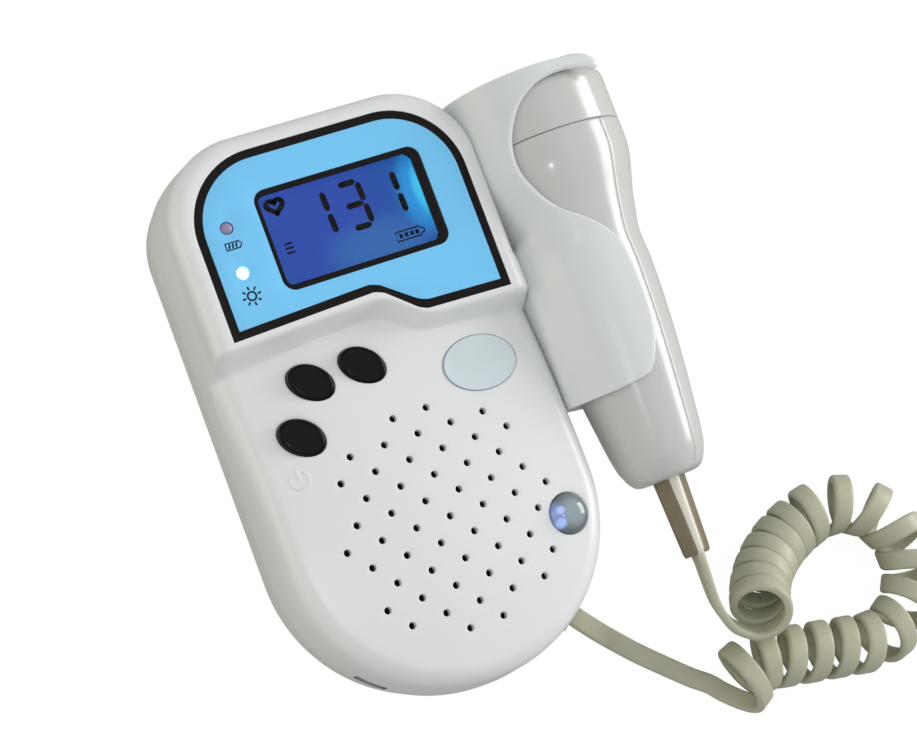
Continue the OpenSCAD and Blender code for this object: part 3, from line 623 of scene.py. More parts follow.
copy_of("back_shell", "back_housing", "unit", shell_back, bevel=0.25, move=fuller)
copy_of("battery_door", "battery_cover", "door", shell_back, bevel=0.2)
steel = surface("steel", (0.55, 0.56, 0.58), rough=0.28, vary=0.08, patch=2, grain=0.3,
                grain_size=0.15, Metallic=1.0)
dress(steel, *["case_screw_%d" % i for i in range(1, 6)],
      *["holster_screw_%d" % i for i in (1, 2, 3)],
      "contact_left", "contact_right", "speaker_magnet")

# ---- Label: blue panel with a black border, and its small marks ---------------------------------
label_blue = surface("label_blue", (0.20, 0.61, 0.96), rough=0.40, vary=0.02, patch=25, grain=0.06,
                     grain_size=0.2, Specular_IOR_Level=0.2)
ink_black = surface("ink_black", (0.008, 0.006, 0.005), rough=0.40, vary=0.2, patch=6,
                    Specular_IOR_Level=0.12)


def rounded_rect(cx, cy, w, h, r, n=6):
    out = []
    for sx, sy, a0 in ((1, 1, 0), (-1, 1, 90), (-1, -1, 180), (1, -1, 270)):
        for i in range(n + 1):
            a = math.radians(a0 + 90 * i / n)
            out.append((cx + sx * (w / 2 - r) + r * math.cos(a),
                        cy + sy * (h / 2 - r) + r * math.sin(a)))
    return np.array(out)


def sheet(outer, holes, top, thick, step=4.0, lip=0.06):
    """A flat sheet with a softened upper edge, open below where it lies on what carries it."""
    outer = np.asarray(outer)
    x0, y0 = outer.min(axis=0)
    x1, y1 = outer.max(axis=0)
    parts = []
    rims = []
    for loop, sign in [(outer, -1)] + [(np.asarray(h), 1) for h in holes]:
        d = np.roll(loop, -1, axis=0) - np.roll(loop, 1, axis=0)
        nrm = np.stack([d[:, 1], -d[:, 0]], 1) / np.linalg.norm(d, axis=1)[:, None]
        area = 0.5 * np.sum(loop[:, 0] * np.roll(loop[:, 1], -1)
                            - np.roll(loop[:, 0], -1) * loop[:, 1])
        nrm = nrm * (1 if area > 0 else -1) * sign
        rows = [[(p[0] + q[0] * b, p[1] + q[1] * b, z) for p, q in zip(loop, nrm)]
                for b, z in ((0, top - thick), (0, top - lip), (lip * 0.3, top - lip * 0.3),
                             (lip, top))]
        parts.append(skin(rows))
        rims.append(np.array([(x, y) for x, y, z in rows[-1]]))
    flat = fill(rims[0], rims[1:], lambda x, y: np.full(np.shape(x), top), [(step, x0, y0, x1, y1)])
    return joined(flat, *parts)


def stroke(a, b, width, top):
    """One bar of a digit or mark: a thin six-sided lozenge between two points."""
    a, b = np.array(a, float), np.array(b, float)
    t = unit3(b - a)
    s = np.array([-t[1], t[0]]) * width / 2
    k = t * width * 0.42
    ring = [a, a + k + s, b - k + s, b, b - k - s, a + k - s]
    n = len(ring)
    v = [(p[0], p[1], z) for z in (top - 0.06, top) for p in ring]
    sides = [(i, (i + 1) % n, n + (i + 1) % n, n + i) for i in range(n)]
    return v, [tuple(range(n, 2 * n))] + sides


def bar(a, b, width, top):
    a, b = np.array(a, float), np.array(b, float)
    t = unit3(b - a)
    s = np.array([-t[1], t[0]]) * width / 2
    ring = [a + s, b + s, b - s, a - s]
    v = [(p[0], p[1], z) for z in (top - 0.06, top) for p in ring]
    return v, [(4, 5, 6, 7)] + [(i, (i + 1) % 4, 4 + (i + 1) % 4, 4 + i) for i in range(4)]


def line(points, width, top):
    """A drawn line of even width through the points, closed when its ends meet."""
    p = np.array(points, float)
    closed = np.allclose(p[0], p[-1])
    if closed:
        p = p[:-1]
        d = np.roll(p, -1, axis=0) - np.roll(p, 1, axis=0)
    else:
        d = np.gradient(p, axis=0)
    s = np.stack([-d[:, 1], d[:, 0]], 1) / np.linalg.norm(d, axis=1)[:, None] * width / 2
    rings = [[(q[0] + r[0] * k, q[1] + r[1] * k, z)
              for k, z in ((-1, top - 0.06), (-1, top), (1, top), (1, top - 0.06))]
             for q, r in zip(p, s)]
    if closed:
        rings.append(rings[0])
    return skin(rings, closed=False)


border = sheet(label_outline(0), [label_outline(1.9)[::-1]], DEPTH, 0.5)
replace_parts(piece("label_edge", *border, "unit", "ink_black", ink_black), "label_border")
FRAME_AT, WINDOW = (2.8, 41.85), (2.1, 41.85)              # middles of the surround and display
LAMP_X, lamp_y = -26.3, (47.9, 37.0)
panel = sheet(label_outline(1.93), [rounded_rect(*FRAME_AT, 42.0, 24.6, 3.0)]
              + [oval(LAMP_X, y, 3.1, 3.1, n=32) for y in lamp_y], DEPTH, 0.5)
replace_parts(piece("label_sheet", *panel, "unit", "label_blue", label_blue), "label_panel")

frame_mesh = sheet(rounded_rect(*FRAME_AT, 41.9, 24.5, 2.9),
                   [rounded_rect(*WINDOW, 38.4, 21.7, 1.4)], DEPTH - 0.03, 1.2, lip=0.25)
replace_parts(piece("display_surround", *frame_mesh, "unit", "ink_black", ink_black), "display_frame")

MARK = DEPTH + 0.03
marks = []
for y in (43.0, 44.3):                                     # battery sign beside the upper lamp
    marks.append(bar((-28.1, y + 0.25 * (y - 43.65)), (-24.6, y + 0.25 * (y - 43.65)), 0.28, MARK))
marks.append(bar((-28.0, 42.75), (-28.0, 44.55), 0.28, MARK))
marks.append(line([(-24.75, 42.84), (-24.7, 43.2), (-24.25, 43.25), (-24.25, 44.05), (-24.7, 44.1),
                   (-24.75, 44.46)], 0.28, MARK))
marks += [bar((x, 43.1), (x + 0.35, 44.2), 0.42, MARK) for x in (-27.35, -26.5, -25.65)]
SUN = (-26.2, 31.3)                                        # middle of the light sign
disc = [tuple(p) for p in oval(*SUN, 2.0, 2.0, n=25)]
marks.append(line(disc + disc[:1], 0.42, MARK))
for i in range(8):                                         # its rays
    c, s = math.cos(math.radians(45 * i + 8)), math.sin(math.radians(45 * i + 8))
    marks.append(bar((SUN[0] + 1.5 * c, SUN[1] + 1.5 * s),
                     (SUN[0] + 2.35 * c, SUN[1] + 2.35 * s), 0.42, MARK))
piece("label_marks", *joined(*marks), "unit", "ink_black", ink_black)

# ---- Display: lit panel with black digits under a clear window -----------------------------------
GLOW = 29.4        # height of the lit panel
lit = bpy.data.materials.new("display_blue")
lit.use_nodes = True
t = lit.node_tree
p = t.nodes["Principled BSDF"]
where = t.nodes.new("ShaderNodeTexCoord").outputs["Object"]
split = t.nodes.new("ShaderNodeSeparateXYZ")
t.links.new(where, split.inputs["Vector"])


def glow(x, y, rx, ry):
    """A soft spot of light round a point of the panel: 1 at its middle, 0 outside."""
    total = None
    for out, at, r in ((split.outputs["X"], x, rx), (split.outputs["Y"], y, ry)):
        m = t.nodes.new("ShaderNodeMath")
        m.operation = "SUBTRACT"
        t.links.new(out, m.inputs[0])
        m.inputs[1].default_value = at * 0.001
        q = t.nodes.new("ShaderNodeMath")
        q.operation = "MULTIPLY"
        t.links.new(m.outputs[0], q.inputs[0])
        q.inputs[1].default_value = 1000.0 / r
        s = t.nodes.new("ShaderNodeMath")
        s.operation = "POWER"
        t.links.new(q.outputs[0], s.inputs[0])
        s.inputs[1].default_value = 2
        ab = t.nodes.new("ShaderNodeMath")
        ab.operation = "ADD"
        t.links.new(s.outputs[0], ab.inputs[0])
        if total:
            t.links.new(total, ab.inputs[1])
        else:
            ab.inputs[1].default_value = 0
        total = ab.outputs[0]
    fall = t.nodes.new("ShaderNodeMapRange")
    fall.interpolation_type = "SMOOTHERSTEP"
    fall.inputs["From Min"].default_value = 0
    fall.inputs["From Max"].default_value = 1
    fall.inputs["To Min"].default_value = 1
    fall.inputs["To Max"].default_value = 0
    t.links.new(total, fall.inputs["Value"])
    return fall.outputs["Result"]


def mixed(fac, a, b):
    m = t.nodes.new("ShaderNodeMix")
    m.data_type = "RGBA"
    t.links.new(fac, m.inputs["Factor"])
    for key, c in ((6, a), (7, b)):
        if isinstance(c, tuple):
            m.inputs[key].default_value = (*c, 1)
        else:
            t.links.new(c, m.inputs[key])
    return m.outputs[2]


base = mixed(glow(-4, 43, 22, 22), (0.020, 0.10, 0.42), (0.035, 0.085, 0.47))
base = mixed(glow(8, 34, 17, 9), base, (0.045, 0.17, 0.50))
base = mixed(glow(22.5, 43.5, 8.5, 13), base, (0.035, 0.38, 0.88))
base = mixed(glow(22.8, 44.0, 3.6, 8.5), base, (0.08, 0.74, 1.1))
t.links.new(base, p.inputs["Emission Color"])
p.inputs["Emission Strength"].default_value = 0.74
p.inputs["Base Color"].default_value = (0.01, 0.02, 0.06, 1)
p.inputs["Roughness"].default_value = 0.5
p.inputs["Specular IOR Level"].default_value = 0.1
screen = sheet(rounded_rect(*WINDOW, 41, 26, 0.5), [], GLOW, 2.3, step=3.0)
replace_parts(piece("display_panel", *screen, "unit", "display_blue", lit), "display_glass")

INK = GLOW + 0.08
SLANT = 0.03
BAR_W = 1.45       # width of a digit's bars


def digit(x, y, on, w=5.0, h=10.8):
    """A seven-bar digit with its lower left corner at x, y."""
    c = {"a": ((0, 1), (1, 1)), "b": ((1, 1), (1, .5)), "c": ((1, .5), (1, 0)),
         "d": ((0, 0), (1, 0)), "g": ((0, .5), (1, .5))}
    out = []
    for k in on:
        (x0, y0), (x1, y1) = c[k]
        a = np.array([x + x0 * w - SLANT * y0 * h, y + y0 * h])
        b = np.array([x + x1 * w - SLANT * y1 * h, y + y1 * h])
        g = unit3(b - a) * 0.28
        out.append(stroke(a + g, b - g, BAR_W, INK))
    return out


signs = digit(-6.2, 39.6, "bc") + digit(2.9, 39.5, "abgcd") + digit(11.7, 39.5, "bc")
heart = []
for i in range(41):
    a = 2 * math.pi * i / 40
    heart.append((-13.1 + 0.125 * 16 * math.sin(a) ** 3,
                  50.1 + 0.115 * (13 * math.cos(a) - 5 * math.cos(2 * a) - 2 * math.cos(3 * a)
                                  - math.cos(4 * a))))
signs.append(line(heart, 1.25, INK))
signs += [bar((-14.2, y), (-12.2, y), 0.5, INK) for y in (38.6, 39.7, 40.8)]
signs.append(line([(12.0, 33.5), (18.2, 33.5), (18.2, 33.9), (19.2, 34.2), (19.2, 35.0), (18.2, 35.3),
                   (18.2, 35.7), (12.0, 35.7), (12.0, 33.5)], 0.34, INK))
signs += [bar((x, 34.1), (x, 35.1), 0.85, INK) for x in (13.2, 14.6, 16.0, 17.3)]
piece("display_digits", *joined(*signs), "unit", "ink_black", ink_black)
clear = surface("clear", (0.96, 0.98, 1.0), rough=0.03, vary=0.005, patch=20,
                Transmission_Weight=1.0, IOR=1.08)
dress(clear, "display_window")

# ---- Lamps, buttons, badge and pulse lens -------------------------------------------------------


def turned(cx, cy, profile, n=48, a=1.0, b=1.0, turn=0):
    """Rings about an upright axis; a and b stretch them to an oval."""
    rings = []
    for r, z in profile:
        loop = oval(cx, cy, max(2 * r * a, 2e-3), max(2 * r * b, 2e-3), turn, n)
        rings.append([(x, y, z) for x, y in loop])
    return skin(rings, caps=True)


lamp_off = surface("lamp_off", (0.30, 0.25, 0.38), rough=0.16, vary=0.12, patch=2.5)
lamp_on = surface("lamp_on", (0.8, 0.95, 1.0), rough=0.2, vary=0.02, patch=3,
                  Emission_Color=(0.72, 0.95, 1.0, 1), Emission_Strength=1.6)
for i, (y, mat, slot) in enumerate(((lamp_y[0], lamp_off, "lamp_off"), (lamp_y[1], lamp_on, "lamp_on"))):
    profile = [(1.46, 28)] + [(1.46 * math.cos(a), 31.4 + 1.0 * math.sin(a))
                              for a in np.linspace(0, math.pi / 2, 8)]
    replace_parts(piece("lamp_bulb_%d" % (i + 1), *turned(-26.3, y, profile, 32), "unit", slot, mat),
                ("lamp_upper", "lamp_lower")[i])

button_black = surface("button_black", (0.004, 0.004, 0.004), rough=0.20, vary=0.1, patch=5,
                       grain=0.05, Specular_IOR_Level=0.13)
for i, (x, y) in enumerate(BUTTONS):
    z = float(dome(x, y))
    shape = [(1.0, -3.2), (1.0, 0.1), (0.995, 0.35), (0.975, 0.62), (0.94, 0.84), (0.89, 1.0),
             (0.83, 1.1), (0.76, 1.15), (0.68, 1.17), (0.55, 1.18), (0.35, 1.19), (0.0, 1.2)]
    name = ("mode", "volume", "power")[i]
    cap = turned(x, y, [(r, z + h) for r, h in shape], 64, 5.72, 4.12, BUTTON_TURN)
    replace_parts(piece("button_" + name, *cap, "key_" + name, "button_black", button_black), "button_" + name)

badge_clear = surface("badge_clear", (0.66, 0.74, 0.76), rough=0.16, vary=0.03, patch=12,
                      Coat_Weight=0.3, Coat_Roughness=0.08)
badge_rim = surface("badge_rim", (0.30, 0.34, 0.42), rough=0.25, vary=0.05, patch=5)
BADGE = (21.2, 0.9)
rings = []
for s, h in ((1.0, -0.4), (1.0, 0.12), (0.985, 0.26), (0.955, 0.33), (0.93, 0.30), (0.90, 0.27),
             (0.6, 0.29), (0.3, 0.31), (0.001, 0.32)):
    o = oval(*BADGE, 19 * s, 13.6 * s, 0, 72)
    rings.append([(x, y, float(dome(x, y)) + h) for x, y in o])
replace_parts(piece("oval_badge", *skin(rings, caps=True), "unit", "badge_clear", badge_clear), "badge")
rings = []
for s, h in ((1.012, -0.3), (1.012, 0.06), (1.0, 0.20), (0.99, 0.27), (0.975, 0.31), (0.968, 0.2)):
    o = oval(*BADGE, 19 * s, 13.6 * s, 0, 72)
    rings.append([(x, y, float(dome(x, y)) + h) for x, y in o])
piece("badge_edge", *skin(rings), "unit", "badge_clear", badge_rim)
lens_blue = bpy.data.materials.new("lens_blue")
lens_blue.use_nodes = True
t = lens_blue.node_tree
p = t.nodes["Principled BSDF"]
split = t.nodes.new("ShaderNodeSeparateXYZ")
t.links.new(t.nodes.new("ShaderNodeTexCoord").outputs["Object"], split.inputs["Vector"])
# Darker towards the rim. The blue-violet patch at the left is painted glow, the light of the lamp beneath drawn into
# the lens colour, and the two emission spots below are painted glow as well.
tone = mixed(glow(*LENS, 5.3, 5.3), (0.08, 0.10, 0.12), (0.33, 0.41, 0.42))
tone = mixed(glow(LENS[0] - 3.6, LENS[1] + 0.4, 3.4, 4.2), tone, (0.30, 0.38, 0.72))
t.links.new(tone, p.inputs["Base Color"])
lens_painted_glow = mixed(glow(LENS[0] - 2.4, LENS[1] + 1.25, 1.3, 1.3), (0.0, 0.0, 0.0), (0.42, 0.52, 0.85))
lens_painted_glow = mixed(glow(LENS[0] - 3.15, LENS[1] - 1.65, 1.6, 1.6), lens_painted_glow, (0.36, 0.50, 0.95))
t.links.new(lens_painted_glow, p.inputs["Emission Color"])
p.inputs["Emission Strength"].default_value = 0.5
p.inputs["Roughness"].default_value = 0.12
p.inputs["Coat Weight"].default_value = 0.2
p.inputs["Coat Roughness"].default_value = 0.05
p.inputs["Transmission Weight"].default_value = 0.08
profile = [(4.75, 26.0), (4.85, 28.6), (4.80, 29.0), (4.62, 29.35), (4.2, 29.95), (3.6, 30.55),
           (2.8, 31.05), (1.9, 31.4), (1.0, 31.55), (0.0, 31.6)]
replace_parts(piece("indicator_lens", *turned(*LENS, smooth([(r, z) for r, z in profile], 3), 64), "unit",
                  "lens_blue", lens_blue), "pulse_lens")
well_grey = surface("lamp_blue", (0.16, 0.20, 0.23), rough=0.4, vary=0.15, patch=1.5)
lamp_glow = surface("lamp_glow", (0.3, 0.45, 0.9), rough=0.3, vary=0.1, patch=2,
                    Emission_Color=(0.22, 0.42, 1.0, 1), Emission_Strength=0.9)
floor_ring = turned(*LENS, [(4.6, 26.6), (4.6, 26.9), (4.3, 27.0), (3.4, 26.7), (3.2, 26.5),
                            (0, 26.5)], 48)
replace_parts(piece("indicator_well", *floor_ring, "unit", "lamp_blue", well_grey), "pulse_lamp")
glow_spot = joined(*[turned(LENS[0] + x, LENS[1] + y,
                            [(0.75, 26.6), (0.75, 27.3), (0.5, 27.7), (0, 27.8)], 24)
                     for x, y in ((-1.9, 0.3), (-1.3, -2.2))])
piece("indicator_lamp", *glow_spot, "unit", "lamp_blue", lamp_glow)

# ---- Holster: an open sleeve that follows the probe, cut away to a curved front edge ------------
# The probe's axis, the holster's gap to the probe and its wall; then the handle's radii along y.
PX, PZ, GAP, HWALL = 58.0, 21.4, 0.3, 1.9
handle = [(7.2, -39.9), (9, -38.8), (10.5, -36), (11.6, -31.5), (12.6, -23.5), (13.7, -13.5),
          (14.7, -1.5), (15.2, 11), (15, 19), (15.9, 24), (17, 29), (18.8, 35), (19.7, 39),
          (19.9, 42), (19.9, 46.2)]
body_line = smooth(handle, 6)
HEAD_R = 19.9


def radius(y):
    return float(np.interp(y, body_line[:, 1], body_line[:, 0])) if y < 46.2 else HEAD_R


edge = smooth([(50.0, -16.3), (55.5, -15.6), (58, -14.1), (60.5, -9.5), (62.1, -3.8), (62.5, 5.4),
               (61.7, 15.8), (58.8, 20.8), (53.9, 25.2), (50.2, 28.3), (47.1, 32.5), (44.8, 37.6),
               (44.1, 40.9), (44.4, 45.4), (45.9, 50), (48.5, 54.1), (52.0, 56.8), (56.0, 58.5),
               (60.5, 59.1), (64.6, 59.2)], 8)                # plan x, y of the front edge
edge = np.vstack([edge, [(65.2, 59.5), (65.1, 60.0), (64.5, 60.6), (63.6, 61.1), (62.4, 61.45),
                         (60.8, 61.7), (58.6, 61.9)]])
JAW = 6.0                                                  # how far the back jaw reaches past PX
half = HWALL / 2


def saddle(r, y, a):
    """How much further out the sleeve's outside lies where it runs on to the unit's wall."""
    t = abs(a - 180)
    if t > 45:
        return 0.0
    plane = r / math.cos(math.radians(45 - t))
    wall_at = (PX - HALF_W - 0.08) / math.cos(math.radians(t))
    share = max(0.0, min(1.0, (25.5 - y) / 3))
    return share * max(0.0, min(plane, wall_at) - r)


rings = []
for xe, y in edge:
    r = radius(y) + GAP + half
    xe = xe - half
    mid = [(PX + JAW - half, PZ - r, 0, -1), (PX + 2.5, PZ - r, 0, -1)]
    stop = 90 if xe >= PX else 180 - math.degrees(math.acos(max(-1, min(1, (PX - xe) / r))))
    for a in np.linspace(270, stop, 61):                  # from the back jaw round by the left
        c, s = math.cos(math.radians(a)), math.sin(math.radians(a))
        mid.append((PX + r * c, PZ + r * s, c, s))
    if xe >= PX:
        mid += [(PX + (xe - PX) * 0.5, PZ + r, 0, 1), (xe, PZ + r, 0, 1)]
    else:
        mid += [mid[-1], mid[-1]]
    ring = []
    for x, z, nx, nz in mid:
        far = saddle(r + half, y, math.degrees(math.atan2(nz, nx)) % 360)
        ring.append((x + nx * (half + far), z + nz * (half + far)))
    x, z, nx, nz = mid[-1]
    tx, tz = (nz, -nx)                                    # onwards past the front edge
    for a in np.linspace(0, math.pi, 9)[1:-1]:
        ring.append((x + nx * half * math.cos(a) + tx * half * math.sin(a),
                     z + nz * half * math.cos(a) + tz * half * math.sin(a)))
    ring += [(x - nx * half, z - nz * half) for x, z, nx, nz in mid[::-1]]
    x, z, nx, nz = mid[0]
    for a in np.linspace(0, math.pi, 9)[1:-1]:
        ring.append((x - nx * half * math.cos(a) + half * math.sin(a), z - nz * half * math.cos(a)))
    rings.append([(x, y, max(0.0, z)) for x, z in ring])
sleeve = skin(rings, caps=True)


def about_probe(profile, n=96):
    rings = []
    for r, y in profile:
        rings.append([(PX + max(r, 1e-3) * math.cos(2 * math.pi * k / n), y,
                       PZ + max(r, 1e-3) * math.sin(2 * math.pi * k / n)) for k in range(n)])
    return skin(rings, caps=True)


R = HEAD_R + GAP + HWALL                                   # the holster's outside at the head
rings = []
for back, y in ((0.3, 60.35), (0.02, 60.4), (0.0, 60.6), (0.02, 60.9), (0.18, 61.25),
                (0.5, 61.55), (1.0, 61.78), (1.7, 61.9)):
    q = R - back
    ring = [(PX + q * math.cos(a), PZ + q * math.sin(a)) for a in np.radians(np.linspace(62, 270, 71))]
    ring += [(PX + 12.7 - back, PZ - q)]
    rings.append([(x, y, max(0.0, z)) for x, z in ring])
end_wall = skin(rings, caps=True)

bead = smooth([(53.2, 57.9, 0.4), (55.6, 59.1, 0.95), (58.5, 59.95, 1.35), (62.0, 60.3, 1.65),
               (65.0, 59.95, 1.85), (67.2, 59.1, 1.85), (68.6, 58.2, 1.5)],
              5)                                           # plan x, y, half width of the lip
bead = np.vstack([bead, [(69.1, 57.8, 1.2), (69.45, 57.5, 0.8), (69.65, 57.3, 0.3)]])
rings = []
for i, (x, y, w) in enumerate(bead):
    t = unit3(bead[min(i + 1, len(bead) - 1)][:2] - bead[max(i - 1, 0)][:2])
    h = min(1.12, 0.55 * w + 0.25)
    rings.append([(x - t[1] * w * math.cos(a), y + t[0] * w * math.cos(a),
                   PZ + R - 1.08 + h * math.sin(a)) for a in np.radians(np.arange(0, 360, 15))])
bead = skin(rings, caps=True)
holster_grey = surface("holster_grey", (0.73, 0.755, 0.74), rough=0.30, vary=0.012, patch=30,
                       grain=0.10, grain_size=0.3)
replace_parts(piece("probe_holster", *joined(sleeve, end_wall, bead), "unit", "holster_grey",
                  holster_grey, sharp=50), "holster")

# ---- Probe: handle with its parting groove, cap, face and boot ----------------------------------
PART = 63.0                                                # angle of the groove, in degrees


def groove(y, a, deep=0.28, wide=0.30):
    """Depth of the fine parting groove at an angle round the handle."""
    r = radius(y)
    out = 0.0
    for at in (PART, PART + 180):
        d = (a - at + 180) % 360 - 180
        out += deep * math.exp(-(math.radians(d) * r / wide) ** 2)
    return out


around = sorted(set(np.round(np.arange(0, 360, 4.0), 3))
                | {round((at + d) % 360, 3) for at in (PART, PART + 180)
                   for d in (-3.2, -2.4, -1.8, -1.3, -0.9, -0.6, -0.3, 0,
                             0.3, 0.6, 0.9, 1.3, 1.8, 2.4, 3.2)})


def lathe(profile, cut=True):
    rings = []
    for r, y in profile:
        ring = []
        for a in around:
            q = max(1e-3, r - (groove(y, a) if cut else 0) * min(1, r / 6))
            ring.append((PX + q * math.cos(math.radians(a)), y, PZ + q * math.sin(math.radians(a))))
        rings.append(ring)
    return skin(rings, caps=True)


probe_white = surface("probe_white", (0.575, 0.58, 0.55), rough=0.22, vary=0.012, patch=30,
                      grain=0.05, grain_size=0.6, Coat_Weight=0.3, Coat_Roughness=0.12)
tail = [(0.0, -39.9), (5.4, -39.9), (6.8, -39.85), (7.9, -39.55), (8.7, -39.0), (9.35, -38.2),
        (9.9, -37.2), (10.5, -35.8)]
line_up = tail + [(r, y) for r, y in body_line if -35.2 < y < 45.7]
line_up += [(19.9, 45.75), (19.86, 45.95), (19.74, 46.06), (19.45, 46.1), (18, 46.1)]
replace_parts(piece("probe_handle", *lathe(line_up), "probe", "shell_white", probe_white, sharp=55),
            "probe_shell_front", "probe_shell_back")
cap_line = [(18, 46.22), (19.45, 46.22), (19.72, 46.27), (19.86, 46.4), (19.9, 46.7), (19.9, 50),
            (19.9, 56.6), (19.82, 57.6), (19.55, 58.5), (19.0, 59.3), (18.3, 59.8), (17.4, 60.0),
            (15.7, 60.0), (15.6, 59.8), (15.6, 58.6)]
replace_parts(piece("probe_head_cap", *lathe(cap_line, False), "probe", "shell_white", probe_white, sharp=55),
            "probe_cap")
face_grey = surface("face_grey", (0.42, 0.44, 0.44), rough=0.42, vary=0.04, patch=8, grain=0.25)
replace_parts(piece("probe_lens", *about_probe([(0, 58.3), (15.45, 58.3), (15.45, 59.6), (15.2, 59.95), (0, 60.0)]),
                  "probe", "face_grey", face_grey), "probe_face")

# The boot's dark brown is painted shade: its sides turned away from the light, darkened into the colour.
boot_beige = surface("boot_beige", (0.20, 0.165, 0.095), rough=0.30, vary=0.08, patch=5, grain=0.12,
                     grain_size=0.4)
rings, ridge_rings = [], []
for f in (0.0, 0.02, 0.08, 0.25, 0.5, 0.75, 0.93, 0.975, 1.0):
    y = -39.7 - 19.5 * f
    tuck = 0.35 if f == 1 else 0.1 if f > 0.97 else 0
    w = 4.25 - 0.75 * f - tuck
    h = 3.35 - 0.5 * f - tuck
    quarter = [(w, 0), (w * 0.985, h * 0.14), (w * 0.94, h * 0.26), (w * 0.82, h * 0.42),
               (w * 0.6, h * 0.66), (w * 0.38, h * 0.88), (w * 0.26, h * 0.97), (w * 0.12, h),
               (0, h)]
    half_ring = quarter + [(-x, z) for x, z in quarter[-2::-1]]
    ring = half_ring + [(x, -z) for x, z in half_ring[-2:0:-1]]
    rings.append([(PX + x, y, PZ + z) for x, z in ring])
    b = 2.0 - 0.85 * f
    front_z = h + 0.12
    ridge_rings.append([(PX + x, y - 0.05 * f, PZ + z) for x, z in (
        (-b, front_z - b * 0.75), (-b * 0.9, front_z - b * 0.38), (-b * 0.6, front_z - b * 0.1),
        (0, front_z), (b * 0.6, front_z - b * 0.1), (b * 0.9, front_z - b * 0.38),
        (b, front_z - b * 0.75), (0, 0))])
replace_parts(piece("cord_boot", *skin(rings, caps=True), "probe", "boot_beige", boot_beige, sharp=50), "probe_boot")
# The ridge along the boot's top is the cord's edge, coloured much lighter than the cord: painted highlight where the
# light falls on the top.
ridge_painted_highlight = surface("ridge_painted_highlight", (0.70, 0.68, 0.57), rough=0.35, vary=0.05, patch=5, grain=0.12,
                     grain_size=0.4)
piece("boot_highlight_ridge", *skin(ridge_rings, caps=True), "probe", "boot_beige", ridge_painted_highlight, sharp=50)

# ---- What lies inside and underneath ------------------------------------------------------------
board_green = surface("board_green", (0.03, 0.16, 0.07), rough=0.4, vary=0.15, patch=3)
chip_black = surface("chip_black", (0.02, 0.02, 0.022), rough=0.45, vary=0.2, patch=2)
foam_black = surface("foam_black", (0.008, 0.008, 0.008), rough=0.9, vary=0.3, patch=1.5, grain=0.6)
cell_skin = surface("cell_skin", (0.03, 0.10, 0.20), rough=0.3, vary=0.1, patch=9)
white_plastic = surface("white_plastic", (0.7, 0.72, 0.72), rough=0.4, vary=0.03, patch=8)
strip_rubber = surface("strip_rubber", (0.55, 0.25, 0.25), rough=0.7, vary=0.1, patch=1)
crystal_mat = surface("crystal", (0.55, 0.50, 0.32), rough=0.35, vary=0.08, patch=3)
basket = surface("basket_grey", (0.16, 0.16, 0.17), rough=0.4, vary=0.1, patch=3, Metallic=0.6)
grey = surface("socket_grey", (0.035, 0.035, 0.038), rough=0.45, vary=0.15, patch=2)
dress(board_green, "main_board", "socket_board", "probe_board")
dress(chip_black, "board_parts", "speaker_cone")
dress(foam_black, "speaker_gasket", "speaker_cloth")
dress(cell_skin, "battery_1", "battery_2", "battery_3")
dress(white_plastic, "backlight", "switch_1", "switch_2", "switch_3")
dress(strip_rubber, "display_strips")
dress(crystal_mat, "crystal")
dress(basket, "speaker_frame")
dress(grey, "charge_socket")
dress(cord_skin, "cord_gland")

# ---- Studio: pale floor, white surroundings, three soft lights and a flash ----------------------
bpy.context.scene.view_settings.view_transform = "Standard"
world = bpy.data.worlds.new("surroundings")
world.use_nodes = True
bpy.context.scene.world = world
t = world.node_tree
back = t.nodes["Background"]
back.inputs["Color"].default_value = (0.93, 0.96, 1.0, 1)
back.inputs["Strength"].default_value = 0.50
seen = t.nodes.new("ShaderNodeBackground")
seen.inputs["Color"].default_value = (1, 1, 1, 1)
seen.inputs["Strength"].default_value = 1.0
mix = t.nodes.new("ShaderNodeMixShader")
path = t.nodes.new("ShaderNodeLightPath")
t.links.new(path.outputs["Is Camera Ray"], mix.inputs["Fac"])
t.links.new(back.outputs[0], mix.inputs[1])
t.links.new(seen.outputs[0], mix.inputs[2])
t.links.new(mix.outputs[0], t.nodes["World Output"].inputs["Surface"])

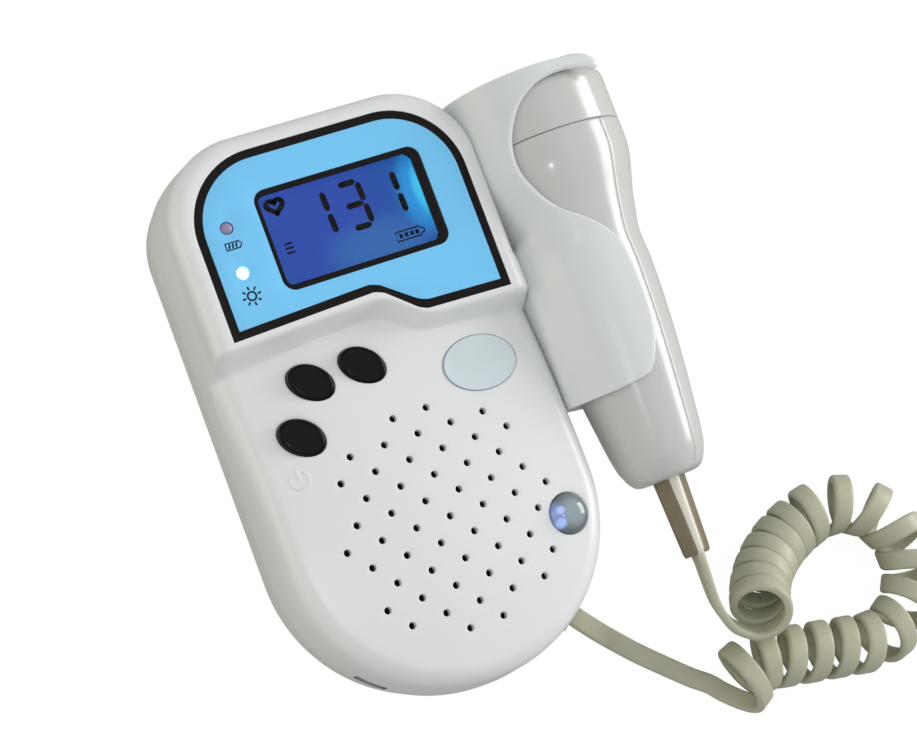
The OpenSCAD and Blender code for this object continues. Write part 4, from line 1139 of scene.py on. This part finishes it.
mesh = bpy.data.meshes.new("floor")
FLOOR_Z = -0.0006                                          # just under the unit, in metres
mesh.from_pydata([(x, y, FLOOR_Z) for x, y in ((-3, -3), (3, -3), (3, 3), (-3, 3))], [],
                 [(0, 1, 2, 3)])
floor = bpy.data.objects.new("floor", mesh)
bpy.context.scene.collection.objects.link(floor)
m = bpy.data.materials.new("floor")
m.use_nodes = True
t = m.node_tree
p = t.nodes["Principled BSDF"]
p.inputs["Base Color"].default_value = (0.5, 0.5, 0.49, 1)
p.inputs["Roughness"].default_value = 0.9
glow_node = t.nodes.new("ShaderNodeEmission")
glow_node.inputs["Color"].default_value = (1, 1, 1, 1)
glow_node.inputs["Strength"].default_value = 1.08
both = t.nodes.new("ShaderNodeMixShader")
path = t.nodes.new("ShaderNodeLightPath")
share = t.nodes.new("ShaderNodeMath")
share.operation = "MULTIPLY"
share.inputs[1].default_value = 0.9
t.links.new(path.outputs["Is Camera Ray"], share.inputs[0])
t.links.new(share.outputs[0], both.inputs["Fac"])
t.links.new(p.outputs[0], both.inputs[1])
t.links.new(glow_node.outputs[0], both.inputs[2])
t.links.new(both.outputs[0], t.nodes["Material Output"].inputs["Surface"])
mesh.materials.append(m)
floor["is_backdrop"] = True


def light(name, at, to, size, watts, colour=(1, 1, 1), long=None):
    d = bpy.data.lights.new(name, "AREA")
    d.energy = watts
    d.color = colour
    d.size = size
    if long:
        d.shape = "RECTANGLE"
        d.size_y = long
    o = bpy.data.objects.new(name, d)
    bpy.context.scene.collection.objects.link(o)
    o.location = at
    o.rotation_euler = (Vector(to) - Vector(at)).to_track_quat("-Z", "Y").to_euler()


light("window", (0.95, 0.02, 0.36), (0.03, 0, 0.02), 0.6, 6.0, (1, 0.99, 0.96), long=0.42)
light("ceiling", (-0.15, 0.0, 0.9), (0, 0, 0.02), 1.2, 2.3, (0.97, 0.985, 1))
light("low fill", (-0.8, 0.2, 0.2), (0, 0.03, 0.01), 0.5, 1.1, (1, 0.86, 0.52))
light("flash", (-0.125, -0.07, 0.53), (0.04, 0.02, 0.03), 0.02, 0.13)

out = [list(q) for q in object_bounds()]
